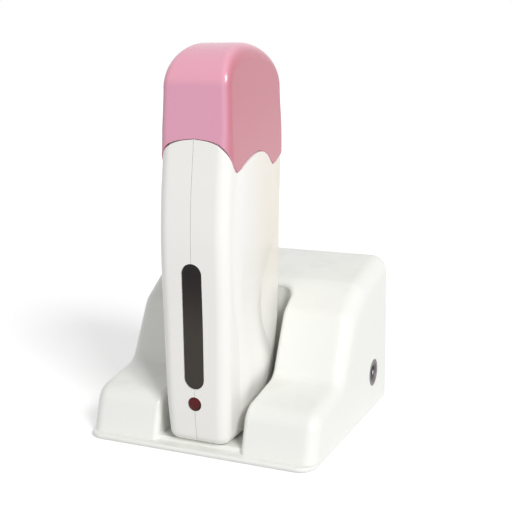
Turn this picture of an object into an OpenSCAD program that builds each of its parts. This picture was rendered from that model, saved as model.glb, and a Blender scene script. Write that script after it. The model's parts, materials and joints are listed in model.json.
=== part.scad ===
// Roll-on wax cartridge heater standing in its docking base.
// Units are millimetres. Z is up, +Y is the back, the origin is under the middle of the base.

/* [Base] */
// Width of the base from side to side.
base_w = 130; // [124:1:150]
// Depth of the bottom plate from front to back.
base_d = 135.6; // [130:0.2:150]
// Height of the base at its rear edge.
base_h = 89; // [80:1:100]
// Height of the two front blocks at their front edge.
block_h = 26; // [20:0.5:32]
// Wall thickness of the base shell.
base_wall = 2.2; // [1.8:0.1:3]
// Radius of the rounded outer edges of the base.
base_edge = 7; // [4:0.5:7.5]
// Radius of the rounded edges round the pocket.
pocket_edge = 3; // [2.8:0.1:6]
// Room on each side between the handset and the pocket.
pocket_room = 3; // [2:0.1:8]
// Radius of the pocket's two rear corners, seen from above.
pocket_corner = 8; // [5:0.5:12]
// Thickness of the bottom plate.
plate_t = 2; // [1.6:0.1:3]
// How far the bottom plate stands out in front of the blocks.
plate_lip = 4.4; // [2:0.1:6]
// Radius of the bottom plate's corners, seen from above.
plate_corner = 9; // [7:0.5:14]
// Diameter of the rubber feet.
foot_d = 12; // [8:0.5:14]
// How far the feet stand out below the plate.
foot_out = 0.8; // [0.5:0.1:2]

/* [Power inlet] */
// Outer diameter of the inlet's rim on the side of the base.
inlet_d = 15.8; // [10:0.2:18]
// Height of the inlet's axis above the ground.
inlet_z = 22.5; // [18:0.5:30]
// Distance of the inlet's axis behind the middle of the base.
inlet_y = 36.5; // [28:0.5:42]
// Diameter of the inlet's bore.
inlet_bore = 8.4; // [6:0.1:9]
// Diameter of the inlet's centre pin.
inlet_pin_d = 2.4; // [1.5:0.1:3.5]

/* [Dock connector] */
// Diameter of each lobe of the connector post.
post_d = 8; // [7:0.1:9]
// Distance between the two contacts.
contact_pitch = 8.6; // [8:0.1:10]
// Height of the post above the pocket's floor.
post_h = 12; // [9:0.5:14]
// Diameter of the handset's contact pins.
contact_d = 2.4; // [1.6:0.1:2.8]

/* [Handset] */
// Width of the handset over its side panels.
body_w = 41.6; // [40.8:0.2:44]
// Height of the handset with its cap on.
body_h = 205; // [195:1:220]
// Largest depth of the handset from front to back.
body_d = 76.6; // [74:0.2:84]
// Wall thickness of the handset's two half shells.
body_wall = 2; // [1.6:0.1:2.2]
// Radius of the upright corners, seen from above.
body_corner = 6.5; // [5.5:0.5:8]
// How far the raised side panels stand out.
panel_rise = 1.5; // [0.6:0.1:1.8]
// Width of the front window.
window_w = 11.4; // [9:0.2:12]
// Length of the front window.
window_h = 66.2; // [60:0.2:72]
// Diameter of the round indicator below the window.
led_d = 7.8; // [6:0.1:8.6]
// Width of the seam line between the half shells.
seam_w = 0.3; // [0.1:0.1:0.5]

/* [Cap] */
// Wall thickness of the cap.
cap_wall = 1.8; // [1.4:0.1:2]
// Clearance between the cap and the neck inside it.
cap_clear = 0.4; // [0.3:0.05:0.5]
// Height of the cap's lower edge at the front, above the handset's foot.
cap_line = 158; // [152:1:162]

// How much narrower the cap is on each side at its crown.
cap_taper = 1.2; // [0:0.1:1.4]
// Radius of the cap's upright corners at its crown.
cap_corner = 4.4; // [4:0.1:6.5]

/* [Cartridge] */
// Width of the wax cartridge.
cart_w = 50; // [46:0.5:50]
// Length of the cartridge's body below its shoulder.
cart_h = 98; // [90:1:100]
// Diameter of the roller.
roller_d = 16; // [13:0.5:18]
// Length of the roller.
roller_l = 36; // [30:1:38]

/* [Hidden] */
$fn = 48;
gap = 0.3;

// Levels.
plate_z = foot_out;
shell_z = plate_z + plate_t;
floor_z = shell_z + 1.9;
floor_t = 1.5;
foot_z = floor_z + gap;
top_z = foot_z + body_h;

// Base profile corners: each is [depth, height, fillet radius], from the front foot to the rear foot.
front_y = -base_d / 2 + plate_lip;
rear_y = base_d / 2;
profile = [
    [front_y, shell_z, 0],
    [front_y + 0.05 * base_d, block_h, base_edge + 3],
    [-0.15 * base_d, block_h + 0.072 * base_h, 6],
    [-0.033 * base_d, 0.736 * base_h, base_edge + 2],
    [0.125 * base_d, 0.888 * base_h, base_edge + 6],
    [rear_y - 1.2, 1.014 * base_h, base_edge + 2.5],
    [rear_y, shell_z, 0],
];
arc_steps = 4;

// Pocket.
pocket_x = body_w / 2 + 0.4 + pocket_room;
pocket_y = 12;

// Handset outline.
front_out = -base_d / 2;
rear_out = front_out + body_d;
half_w = body_w / 2;
side_w = half_w - panel_rise;
foot_round = 5;
crown_z = top_z - 23;
neck_top = foot_z + 163;
neck_in = cap_wall + cap_clear;
neck_wall = 1.7;
cap_w = side_w + 0.6;
mouth_z = foot_z + body_wall;

// Chamber and cartridge.
chamber_y = front_out + 38.8;
sleeve_t = 1;
heater_t = 1.3;
sleeve_x = side_w - 0.3 - body_wall - heater_t - 0.3;
sleeve_y = cart_w / 2 + 1.6;
sleeve_z0 = foot_z + 42;
sleeve_z1 = neck_top - 4;
sleeve_in = sleeve_x - sleeve_t;
cart_x = sleeve_in - 0.6;
cart_y = cart_w / 2;
cart_z0 = sleeve_z0 + sleeve_t + gap;
cart_z1 = cart_z0 + cart_h;
cart_round = 8;
head_z = cart_z1 + 8;
axle_z = head_z + 6 + roller_d / 2 + 2;
axle_d = 3;
run_clear = 0.05;
arm_t = 3;
arm_y = roller_l / 2 + 0.5;

// Inlet and connector places.
dock_y = front_out + 40.6;
inlet_x = base_w / 2;
shelf_z = sleeve_z0 - 2.4;

white = [0.93, 0.93, 0.91];
pink = [0.86, 0.6, 0.7];
steel = [0.75, 0.76, 0.78];
brass = [0.8, 0.65, 0.35];
black = [0.06, 0.06, 0.07];

// ---- Helpers ----

function clamp(v, a, b) = max(a, min(b, v));
function lerp(a, b, t) = a + (b - a) * t;
function unit(v) = v / norm(v);

// Smooth curve through stations, each [position, value].
function slope(st, i) =
    let (a = max(i - 1, 0), b = min(i + 1, len(st) - 1))
    (st[b][1] - st[a][1]) / (st[b][0] - st[a][0]);
function span(x, st, i = 0) = (i >= len(st) - 2 || x <= st[i + 1][0]) ? i : span(x, st, i + 1);
function curve(x, st) =
    let (
        c = clamp(x, st[0][0], st[len(st) - 1][0]),
        i = span(c, st),
        h = st[i + 1][0] - st[i][0],
        t = (c - st[i][0]) / h
    )
    (2 * t * t * t - 3 * t * t + 1) * st[i][1]
    + (t * t * t - 2 * t * t + t) * h * slope(st, i)
    + (3 * t * t - 2 * t * t * t) * st[i + 1][1]
    + (t * t * t - t * t) * h * slope(st, i + 1);

// How far a rounded edge of radius r falls away at distance d from its side.
function fall(d, r) = d >= r ? 0 : r - sqrt(max(0, r * r - (r - max(d, 0)) * (r - max(d, 0))));

// Quads between two rows of point numbers.
function strip(a, b) = [for (i = [0 : len(a) - 2]) each [[a[i], a[i + 1], b[i + 1]], [a[i], b[i + 1], b[i]]]];
function flipped(faces) = [for (f = faces) [for (i = [len(f) - 1 : -1 : 0]) f[i]]];
function back(list) = [for (i = [len(list) - 1 : -1 : 0]) list[i]];
function turned(list, k) = [for (i = [0 : len(list) - 1]) list[(i + k) % len(list)]];

// Triangles between two upright lines of point numbers a and b, with their heights.
function zip(a, b, za, zb, i = 0, j = 0) =
    (i >= len(a) - 1 && j >= len(b) - 1) ? []
    : (j >= len(b) - 1 || (i < len(a) - 1 && za[i + 1] <= zb[j + 1]))
    ? concat([[a[i], a[i + 1], b[j]]], zip(a, b, za, zb, i + 1, j))
    : concat([[a[i], b[j + 1], b[j]]], zip(a, b, za, zb, i, j + 1));

// ---- Base shell surface ----

// Points round one fillet of the profile, each [y, z, normal y, normal z].
function fillet(p, c, q, steps) =
    let (
        a = [c[0], c[1]],
        u = unit([p[0], p[1]] - a),
        v = unit([q[0], q[1]] - a),
        half = acos(u * v) / 2,
        r = c[2],
        o = a + unit(u + v) * r / sin(half),
        s = a + u * r / tan(half) - o,
        turn = sign(cross(u, v)) * (180 - 2 * half),
        from = atan2(s[1], s[0]),
        side = turn > 0 ? 1 : -1
    )
    [for (k = [0 : steps]) let (w = from - turn * k / steps)
        [o[0] + r * cos(w), o[1] + r * sin(w), side * cos(w), side * sin(w)]];

// Ends of the profile, moved in by d along the level of the foot.
function foot_point(c, n, d) =
    let (t = unit([n[0] - c[0], n[1] - c[1]]), m = t[0] >= 0 ? [-t[1], t[0]] : [t[1], -t[0]])
    [c[0] - d / m[0], c[1], m[0], 0];

base_path = [for (i = [1 : len(profile) - 2])
    each fillet(profile[i - 1], profile[i], profile[i + 1], arc_steps)];
path_n = len(base_path);

// Top of the profile at depth y, found on the band between two path points.
function path_at(y) =
    let (
        i = max([for (k = [0 : path_n - 2]) base_path[k][0] <= y ? k : 0]),
        t = clamp((y - base_path[i][0]) / (base_path[i + 1][0] - base_path[i][0]), 0, 1)
    )
    lerp(base_path[i], base_path[i + 1], t);

// Distance from a plan point to the pocket's outline, for a pocket grown by g.
function pocket_dist(x, y, g) =
    let (
        r = pocket_corner + g,
        qx = abs(x) - (pocket_x + g - r),
        qy = y - (pocket_y + g - r)
    )
    norm([max(qx, 0), max(qy, 0)]) + min(max(qx, qy), 0) - r;
function pocket_back(x, g) =
    let (r = pocket_corner + g, q = max(0, abs(x) - (pocket_x + g - r)))
    pocket_y + g - r + sqrt(max(0, r * r - q * q));

// Path points over the front blocks, and those behind the pocket.
edge_rows = 3;
wing_pick = [for (p = base_path) if (p[0] < pocket_y - pocket_corner - 1) p];
back_pick = [for (p = base_path) if (p[0] > pocket_y + pocket_edge + base_wall + 0.1) p];

// A point of the shell's top over plan column x, from path point p, moved in by g.
function skin(x, p, g, w) =
    let (
        d = fall(w - abs(x), base_edge - g),
        e = fall(pocket_dist(x, p[0], g), pocket_edge - g),
        m = g + max(d, e)
    )
    [x, p[0] - m * p[2], p[1] - m * p[3]];

function wing_foot(x, g, w) =
    let (m = g + fall(w - abs(x), base_edge - g) + fall(abs(x) - pocket_x - g, pocket_edge - g))
    let (f = foot_point(profile[0], profile[1], m)) [x, f[0], f[1]];
function rear_foot(x, g, w) =
    let (m = g + fall(w - abs(x), base_edge - g))
    [x, rear_y - m, shell_z];

// One column that runs over a wing, and one that runs along the pocket's floor.
function wing_column(x, g, w) = [
    wing_foot(x, g, w),
    for (p = wing_pick) skin(x, p, g, w),
    skin(x, path_at(pocket_y - pocket_corner), g, w),
    for (k = [1 : edge_rows])
        skin(x, path_at(lerp(pocket_y - pocket_corner, pocket_y + g + pocket_edge, k / edge_rows)), g, w),
    for (p = back_pick) skin(x, p, g, w),
    rear_foot(x, g, w),
];
function floor_column(x, g, w) =
    let (
        n = len(wing_pick),
        yb = pocket_back(x, g),
        z = floor_z - (g > 0 ? floor_t : 0),
        lip = wing_foot(pocket_x + g, g, w)[1] + g,
        y0 = lip + (g > 0 ? 0 : 1)
    )
    [
        [x, lip, shell_z],
        for (k = [1 : n]) [x, lerp(y0, yb, (k - 1) / (n - 1)), z],
        skin(x, path_at(yb), g, w),
        for (k = [1 : edge_rows])
            skin(x, path_at(lerp(yb, pocket_y + g + pocket_edge, k / edge_rows)), g, w),
        for (p = back_pick) skin(x, p, g, w),
        rear_foot(x, g, w),
    ];

// Column places across one side, from the middle out.
function floor_xs(g) = let (r = pocket_corner + g, s = pocket_x + g) [
    0, (s - r) / 2, for (k = [0 : 3]) s - r + r * sin(30 * k),
];
function wing_xs(g, w) = let (a = pocket_edge - g, b = base_edge - g, s = pocket_x + g) [
    for (k = [0 : 3]) s + a * (1 - cos(30 * k)),
    for (k = [3 : -1 : 0]) w - b * (1 - cos(30 * k)),
];
function shell_columns(g) =
    let (
        w = base_w / 2 - g,
        half = concat(
            [for (x = floor_xs(g)) floor_column(x, g, w)],
            [for (x = wing_xs(g, w)) wing_column(x, g, w)]
        ),
        other = [for (i = [len(half) - 1 : -1 : 1]) [for (p = half[i]) [-p[0], p[1], p[2]]]]
    )
    concat(other, half);

// A closed shell between an outer and an inner set of columns, open along the foot.
module shell(outer, inner) {
    nc = len(outer);
    nr = len(outer[0]);
    far = nc * nr;
    function col(i, o) = [for (j = [0 : nr - 1]) o + i * nr + j];
    function row(j, o) = [for (i = [0 : nc - 1]) o + i * nr + j];
    polyhedron(
        points = concat([for (c = outer) each c], [for (c = inner) each c]),
        faces = concat(
            [for (i = [0 : nc - 2]) each strip(col(i, 0), col(i + 1, 0))],
            [for (i = [0 : nc - 2]) each flipped(strip(col(i, far), col(i + 1, far)))],
            [back(col(0, 0)), turned(col(nc - 1, 0), nr - 1), turned(col(0, far), nr - 1), back(col(nc - 1, far))],
            strip(row(0, 0), row(0, far)),
            strip(row(nr - 1, far), row(nr - 1, 0)),
            [[0, far, far + nr - 1, nr - 1]],
            [[far - nr, far - 1, 2 * far - 1, 2 * far - nr]]
        ),
        convexity = 8
    );
}

// ---- Handset surface ----

// Value of a line of stations, each [share of the handset's height, millimetres], at height z.
function along(z, st) = curve((z - foot_z) / body_h, st);

front_line = [[0, 4.6], [0.11, 2.5], [0.32, 1.5], [0.51, 0], [0.63, 1.1], [0.71, 3.2], [0.77, 4.7], [0.87, 6]];
rear_line = [[0, 19], [0.07, 13], [0.13, 9], [0.18, 6.6], [0.24, 3.9], [0.3, 2.8], [0.4, 2.6], [0.55, 2], [0.71, 0],
    [0.87, 2]];
side_line = [[0, 1.9], [0.07, 1.3], [0.17, 0.7], [0.28, 0.3], [0.42, 0]];
rise_line = [[0.05, 0], [0.1, 0.6], [0.16, 1.8], [0.22, 1.4], [0.32, 1], [1, 1]];
panel_front = [[0, 20], [0.2, 17.2], [0.27, 15.5], [0.33, 12], [0.4, 9.1], [0.48, 7.6], [0.56, 8.8], [0.69, 13.8]];
panel_rear = [[0, 59], [0.16, 62.5], [0.24, 52.2], [0.29, 46.3], [0.34, 44.9], [0.4, 47.4], [0.5, 65], [0.56, 67.5],
    [0.69, 60.6]];
// The cap's lower edge: each [place round the section, height above the front's].
cap_edge = [[0, 0], [0.6, -1], [1, -2.8], [1.5, -6.5], [2, -13], [2.15, -16.5], [2.3, -12.2], [2.45, -9],
    [2.58, -8.2], [2.7, -10.6], [2.85, -16.4], [3, -12.4], [4, -8.5], [5, -7]];

function front_at(z) = front_out + along(z, front_line);
function rear_at(z) = rear_out - along(z, rear_line);
function side_at(z) = side_w - along(z, side_line);
function edge_at(u) = foot_z + cap_line + curve(u, cap_edge);
// Half width and corner radius of the cap at height z.
taper_z = foot_z + cap_line - 13;
function cap_half(z) = cap_w - cap_taper * max(0, z - taper_z) / (crown_z - taper_z);
function cap_round(z) = lerp(body_corner, cap_corner, clamp((z - taper_z) / (crown_z - taper_z), 0, 1));

// Section places: 0-1 front face, 1-2 front corner, 2-3 side, 3-4 rear corner, 4-5 rear face.
panel_u = [2.15, 2.85];
function panel_at(u, z) =
    let (t = (u - panel_u[0]) / (panel_u[1] - panel_u[0]))
    (t <= 0 || t >= 1) ? 0 : panel_rise * along(z, rise_line) * (0.4 + 0.6 * pow(sin(180 * t), 0.7));

// Point [x, y] at place u of the section at height z, moved in by g, of half width w.
function section(u, z, g, w, r0) =
    let (
        r = max(r0 - g, 1),
        yf = front_at(z) + g,
        yr = rear_at(z) - g,
        a = yf + r,
        d = yr - r,
        b = clamp(front_out + along(z, panel_front), a + 0.4, d - 4),
        c = clamp(front_out + along(z, panel_rear), b + 3, d - 0.4),
        x0 = seam_w / 2,
        x1 = w - r
    )
    u <= 1 ? [lerp(x0, x1, u), yf]
    : u <= 2 ? [x1 + r * sin(90 * (u - 1)), a - r * cos(90 * (u - 1))]
    : u <= panel_u[0] ? [w, lerp(a, b, (u - 2) / (panel_u[0] - 2))]
    : u <= panel_u[1] ? [w, lerp(b, c, (u - panel_u[0]) / (panel_u[1] - panel_u[0]))]
    : u <= 3 ? [w, lerp(c, d, (u - panel_u[1]) / (3 - panel_u[1]))]
    : u <= 4 ? [x1 + r * cos(90 * (u - 3)), d + r * sin(90 * (u - 3))]
    : [lerp(x1, x0, u - 4), yr];

corner_us = [0.25, 0.5, 0.75];
half_us = concat([0, 0.5, 1], [for (c = corner_us) 1 + c],
    [2, 2.15, 2.16, 2.26, 2.38, 2.5, 2.62, 2.74, 2.84, 2.85, 3], [for (c = corner_us) 3 + c], [4, 4.5, 5]);

function body_point(u, z) =
    let (
        f = fall(z - foot_z, foot_round),
        q = section(u, z, f, side_at(z) - f, body_corner)
    )
    [q[0] + panel_at(u, z), q[1], z];
function neck_point(u, z, g) =
    let (q = section(u, z, g, cap_half(z) - g, cap_round(z))) [q[0], q[1], z];
function inner_point(u, z) =
    let (
        f = body_wall + fall(z - mouth_z, foot_round - body_wall),
        q = section(u, z, f, side_at(z) - f, body_corner)
    )
    [q[0], q[1], z];

foot_steps = [0, 0.14, 0.36, 0.66, 1];
low_levels = concat(
    [for (t = foot_steps) foot_z + foot_round * t],
    [for (t = [0.055, 0.09, 0.125, 0.16, 0.195, 0.23, 0.27, 0.31, 0.35, 0.39, 0.42, 0.45, 0.49, 0.55, 0.62])
        foot_z + body_h * t]
);
inner_levels = concat(
    [for (t = [0.645, 0.55, 0.48, 0.4, 0.28, 0.17, 0.07]) foot_z + body_h * t],
    [for (t = [1, 0.4, 0.1, 0]) mouth_z + (foot_round - body_wall) * t]
);
high_steps = [1 / 3, 2 / 3, 1];

// One half of the handset's housing, on the side of +X, with its neck.
module housing_shell() {
    out = concat(
        [for (z = low_levels) [for (u = half_us) body_point(u, z)]],
        [for (t = high_steps) [for (u = half_us)
            body_point(u, lerp(low_levels[len(low_levels) - 1], edge_at(u), t))]],
        [[for (u = half_us) neck_point(u, edge_at(u), neck_in)]],
        [[for (u = half_us) neck_point(u, neck_top, neck_in)]]
    );
    ins = concat(
        [[for (u = half_us) neck_point(u, neck_top, neck_in + neck_wall)]],
        [[for (u = half_us) neck_point(u, foot_z + body_h * 0.67, neck_in + neck_wall)]],
        [for (z = inner_levels) [for (u = half_us) inner_point(u, z)]]
    );
    nu = len(half_us);
    rows = concat(out, ins);
    n = len(rows);
    m = len(out);
    function row(k) = [for (i = [0 : nu - 1]) k * nu + i];
    // Seam edges of the outer skin and of the inner one, both from the foot up.
    function outer_edge(o) = [for (k = [0 : m - 1]) k * nu + o];
    function inner_edge(o) = [for (k = [n - 1 : -1 : m]) k * nu + o];
    function levels(edge) = [for (p = edge) rows[floor(p / nu)][p % nu][2]];
    function seam(o) = zip(outer_edge(o), inner_edge(o), levels(outer_edge(o)), levels(inner_edge(o)));
    low = (n - 1) * nu;
    polyhedron(
        points = [for (r = rows) each r],
        faces = concat(
            [for (k = [0 : n - 2]) each flipped(strip(row(k), row(k + 1)))],
            [turned(row(0), 4), turned(back(row(n - 1)), 4)],
            flipped(seam(0)),
            seam(nu - 1),
            [[0, low + nu - 1, low], [0, nu - 1, low + nu - 1]]
        ),
        convexity = 8
    );
}

// ---- Cap surface ----

crown_n = 2.1;
crown_steps = 14;
crown_y = front_out + 39;
function spow(v, e) = sign(v) * pow(abs(v), e);
// Arch over the top, from the front round to the rear, each [y, z, normal y, normal z].
function crown(k) =
    let (
        w = 180 * k / crown_steps,
        c = cos(w),
        s = sin(w),
        a = c > 0 ? crown_y - front_at(crown_z) : rear_at(crown_z) - crown_y,
        b = top_z - crown_z,
        n = unit([-spow(c, 2 - 2 / crown_n) / a, pow(abs(s), 2 - 2 / crown_n) / b])
    )
    [crown_y - a * spow(c, 2 / crown_n), crown_z + b * pow(abs(s), 2 / crown_n), n[0], n[1]];

cap_us = [for (u = half_us) if (u != 2.16 && u != 2.84) u];
cap_steps = [0, 0.25, 0.5, 1];
function cap_ring(t, g) =
    let (half = [for (u = cap_us)
        let (z = lerp(edge_at(u) + gap, crown_z, t), q = section(u, z, g, cap_half(z) - g, cap_round(z)))
            [q[0], q[1], z]])
    concat(half, [for (i = [len(half) - 1 : -1 : 0]) [-half[i][0], half[i][1], half[i][2]]]);
// The row of points over the crown at step k: from the side of -X across to +X.
function crown_row(k, g) =
    let (
        p = crown(k),
        yf = front_at(crown_z) + g,
        half = [for (u = cap_us) if (u <= 2)
            let (
                w = cap_half(crown_z) - g,
                q = section(u, crown_z, g, w, cap_corner),
                d = g + q[1] - yf,
                z = p[1] - d * p[3]
            )
            [q[0] * (cap_half(z) - g) / w, p[0] - d * p[2], z]]
    )
    concat([for (i = [len(half) - 1 : -1 : 0]) [-half[i][0], half[i][1], half[i][2]]], half);

// Faces of one side of the cap's skin, whose points start at number o.
function cap_skin(o) =
    let (
        nu = len(cap_us),
        ring = 2 * nu,
        nr = len(cap_steps),
        nf = len([for (u = cap_us) if (u <= 2) u]),
        top = o + (nr - 1) * ring,
        first = o + nr * ring,
        front = concat([for (i = [0 : nf - 1]) top + ring - nf + i], [for (i = [0 : nf - 1]) top + i]),
        rear = concat([for (i = [0 : nf - 1]) top + nu + nf - 1 - i], [for (i = [0 : nf - 1]) top + nu - 1 - i]),
        rows = concat([front], [for (k = [0 : crown_steps - 2]) [for (i = [0 : 2 * nf - 1]) first + k * 2 * nf + i]],
            [rear]),
        round = [for (k = [0 : nr - 1]) [for (i = [0 : ring]) o + k * ring + i % ring]],
        mid = floor(len(rows) / 2)
    )
    concat(
        [for (k = [0 : nr - 2]) each strip(round[k], round[k + 1])],
        [for (k = [0 : len(rows) - 2]) each strip(rows[k], rows[k + 1])],
        [concat([for (k = [mid : -1 : 1]) rows[k][2 * nf - 1]], [for (i = [nf - 1 : nu - nf]) top + i],
            [for (k = [len(rows) - 2 : -1 : mid + 1]) rows[k][2 * nf - 1]])],
        [concat([for (k = [mid : len(rows) - 2]) rows[k][0]], [for (i = [nu - nf : -1 : nf - 1]) top + ring - 1 - i],
            [for (k = [1 : mid - 1]) rows[k][0]])]
    );
function cap_points(g) = concat(
    [for (t = cap_steps) each cap_ring(t, g)],
    [for (k = [1 : crown_steps - 1]) each crown_row(k, g)]
);
module cap_shell() {
    pts = cap_points(0);
    n = len(pts);
    ring = 2 * len(cap_us);
    function rim(o) = [for (i = [0 : ring]) o + i % ring];
    polyhedron(
        points = concat(pts, cap_points(cap_wall)),
        faces = concat(flipped(cap_skin(0)), cap_skin(n), strip(rim(0), rim(n))),
        convexity = 6
    );
}

// ---- Small shapes ----

// Upright block with rounded corners, centred on the chamber.
module pad(x, y, r, z0, z1) {
    translate([0, chamber_y, z0])
        linear_extrude(z1 - z0)
            hull()
                for (a = [-1, 1], b = [-1, 1])
                    translate([a * (x - r), b * (y - r)]) circle(r, $fn = 32);
}
module box(x0, x1, y0, y1, z0, z1) {
    translate([x0, y0, z0]) cube([x1 - x0, y1 - y0, z1 - z0]);
}
module rod(p, d, h) {
    translate(p) cylinder(d = d, h = h);
}
module rod_x(p, d, h) {
    translate(p) rotate([0, 90, 0]) cylinder(d = d, h = h);
}
module rod_y(p, d, h) {
    translate(p) rotate([-90, 0, 0]) cylinder(d = d, h = h);
}
// Two joined lobes along the depth of the part, for the dock connector.
module lobes(d, z0, z1) {
    translate([0, dock_y, z0])
        linear_extrude(z1 - z0)
            hull()
                for (a = [-1, 1])
                    translate([0, a * contact_pitch / 2]) circle(d = d);
}
// A lead swept along a line of points, with lead_sides faces round it.
lead_sides = 8;
module lead(path, d) {
    n = len(path);
    m = lead_sides;
    function way(k) = unit(path[min(k + 1, n - 1)] - path[max(k - 1, 0)]);
    function ring(k) =
        let (t = way(k), a = unit(cross(t, [0.3, 0.2, 0.9])), b = cross(t, a))
        [for (i = [0 : m - 1]) path[k] + d / 2 * (a * cos(360 * i / m) + b * sin(360 * i / m))];
    function loop(k) = [for (i = [0 : m]) k * m + i % m];
    polyhedron(
        points = [for (k = [0 : n - 1]) each ring(k)],
        faces = concat(
            [for (k = [0 : n - 2]) each flipped(strip(loop(k), loop(k + 1)))],
            [[for (i = [0 : m - 1]) i], [for (i = [m - 1 : -1 : 0]) (n - 1) * m + i]]
        )
    );
}
// Capsule that runs through the handset's front, as wide as w and as long as h.
module capsule(w, h, y0, y1) {
    for (s = [-1, 1])
        rod_y([0, y0, window_mid + s * (h - w) / 2], w, y1 - y0);
    box(-w / 2, w / 2, y0, y1, window_mid - (h - w) / 2, window_mid + (h - w) / 2);
}

// ---- Base ----

window_mid = foot_z + 63.3;
led_z = foot_z + 22.5;
screw_at = [[front_y + 11, 1], [rear_y - 10, 1], [front_y + 11, -1], [rear_y - 10, -1]];
screw_x = base_w / 2 - base_wall - 3;
boss_d = 7;
screw_d = 2.6;
head_d = 5;
head_t = 1;
rim_t = 1;
bore_t = 9;
groove_w = 5;
groove_z = plate_z + 0.9;
groove_y = pocket_y + base_wall + 5;

module base_shell() {
    color(white) difference() {
        union() {
            shell(shell_columns(0), shell_columns(base_wall));
            for (s = screw_at) rod([s[1] * screw_x, s[0], shell_z], boss_d, block_h - shell_z - 6);
        }
        for (s = screw_at) rod([s[1] * screw_x, s[0], shell_z - 1], screw_d - 0.3, 13);
        rod_x([inlet_x - 2 * base_wall, inlet_y, inlet_z], inlet_d - 2, 3 * base_wall);
        rod_x([inlet_x - rim_t, inlet_y, inlet_z], inlet_d, 2 * rim_t);
        lobes(post_d + 0.2, shell_z, floor_z + 1);
    }
}

module base_plate() {
    y0 = -base_d / 2;
    r = plate_corner;
    w = base_w / 2;
    color(white) difference() {
        translate([0, 0, plate_z])
            linear_extrude(plate_t)
                hull()
                    for (a = [-1, 1], c = [[y0 + r, r], [rear_y - base_edge, base_edge]])
                        translate([a * (w - c[1]), c[0]]) circle(c[1]);
        for (s = screw_at) {
            rod([s[1] * screw_x, s[0], plate_z - 1], screw_d + 0.6, plate_t + 2);
            rod([s[1] * screw_x, s[0], plate_z - 1], head_d + 0.6, 1 + head_t + 0.2);
        }
        box(-groove_w / 2, groove_w / 2, dock_y - contact_pitch, groove_y, groove_z, shell_z + 1);
    }
}

foot_at = [[-1, front_y + 22], [1, front_y + 22], [-1, rear_y - 24], [1, rear_y - 24]];
module base_feet() {
    color(black)
        for (f = foot_at)
            rod([f[0] * (screw_x - 4), f[1], 0], foot_d, plate_z);
}

module base_screws() {
    color(steel)
        for (s = screw_at) difference() {
            union() {
                rod([s[1] * screw_x, s[0], plate_z + 0.2], head_d, head_t);
                rod([s[1] * screw_x, s[0], plate_z + 0.2], screw_d, 10);
            }
            box(s[1] * screw_x - 1.5, s[1] * screw_x + 1.5, s[0] - 0.3, s[0] + 0.3, plate_z, plate_z + 0.7);
        }
}

module power_inlet() {
    color(black) translate([inlet_x, inlet_y, inlet_z]) rotate([0, 90, 0]) difference() {
        union() {
            translate([0, 0, -base_wall - 14]) cylinder(d = inlet_d - 2, h = base_wall + 14);
            translate([0, 0, -rim_t]) cylinder(d = inlet_d, h = rim_t);
            translate([0, 0, -base_wall - 1.6]) cylinder(d = inlet_d + 1, h = 1.6);
        }
        translate([0, 0, -base_wall - bore_t]) cylinder(d = inlet_bore, h = base_wall + bore_t + 2);
    }
}

module inlet_pin() {
    root = 1.3;
    color(steel) {
        rod_x([inlet_x - base_wall - bore_t - 1, inlet_y, inlet_z], inlet_pin_d - 0.5, root + 1);
        rod_x([inlet_x - base_wall - bore_t - 1 + root, inlet_y, inlet_z], inlet_pin_d, base_wall + bore_t - root + 0.6);
    }
}

module dock_connector() {
    color(black) difference() {
        lobes(post_d, shell_z, floor_z + post_h);
        box(-groove_w / 2, groove_w / 2, dock_y - contact_pitch, dock_y + contact_pitch, shell_z - 1, floor_z - 1);
        for (s = [-1, 1])
            rod([0, dock_y + s * contact_pitch / 2, floor_z - 1.5], contact_d + 2, post_h + 2);
    }
}

module dock_sleeves() {
    color(brass)
        for (s = [-1, 1])
            difference() {
                rod([0, dock_y + s * contact_pitch / 2, floor_z - 1], contact_d + 2, post_h + 0.6);
                rod([0, dock_y + s * contact_pitch / 2, floor_z + 1], contact_d + 2 * gap, post_h + 2);
            }
}

lead_d = 1.1;
module base_leads() {
    z = groove_z + lead_d / 2;
    color([0.6, 0.1, 0.1])
        for (s = [-1, 1]) {
            y0 = dock_y + s * contact_pitch / 2;
            y1 = groove_y - 2.3 + 1.3 * s;
            lead([
                [s * 1.2, y0, floor_z - 1],
                [s * 1.2, y0, z],
                [s * 1.2, y1, z],
                [s * 1.2, y1, inlet_z - 6],
                [inlet_x - base_wall - 18, inlet_y + 2 * s, inlet_z + 2 * s],
                [inlet_x - base_wall - 14, inlet_y + 2 * s, inlet_z + 2 * s],
            ], lead_d);
        }
}

// ---- Handset ----

// Screws that join the half shells: each is [depth, height].
joint_at = [
    [front_out + 7.6, foot_z + 0.55 * body_h],
    [rear_out - 7.9, foot_z + 0.55 * body_h],
    [front_out + 22, foot_z + 9],
    [front_out + 55.5, foot_z + 17],
];
joint_d = 6;
joint_screw = 2.4;
joint_head = 4.6;
joint_in = side_w - 5;
recess_d = post_d + 0.8;
recess_z = floor_z + post_h + 1;
block_x = recess_d / 2 + 2;
block_y = (recess_d + contact_pitch) / 2 + 2;

// Posts and shelves inside one half, on the side of +X.
module half_fittings() {
    for (p = joint_at) rod_x([seam_w / 2, p[0], p[1]], joint_d, side_at(p[1]) - 0.75 * body_wall - seam_w / 2);
    for (y = [chamber_y - sleeve_y + 4, chamber_y + sleeve_y - 12])
        box(sleeve_x - 5, side_at(shelf_z) - body_wall / 2, y, y + 8, shelf_z, sleeve_z0);
}
module half_cuts() {
    capsule(window_w, window_h, front_out - 5, front_out + 12);
    rod_y([0, front_out - 5, led_z], led_d + 0.2, 15);
    lobes(recess_d, foot_z - 1, recess_z);
}

module housing_right() {
    color(white) difference() {
        union() {
            housing_shell();
            half_fittings();
        }
        half_cuts();
        for (p = joint_at) rod_x([-1, p[0], p[1]], joint_screw - 0.3, 11);
    }
}

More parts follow.
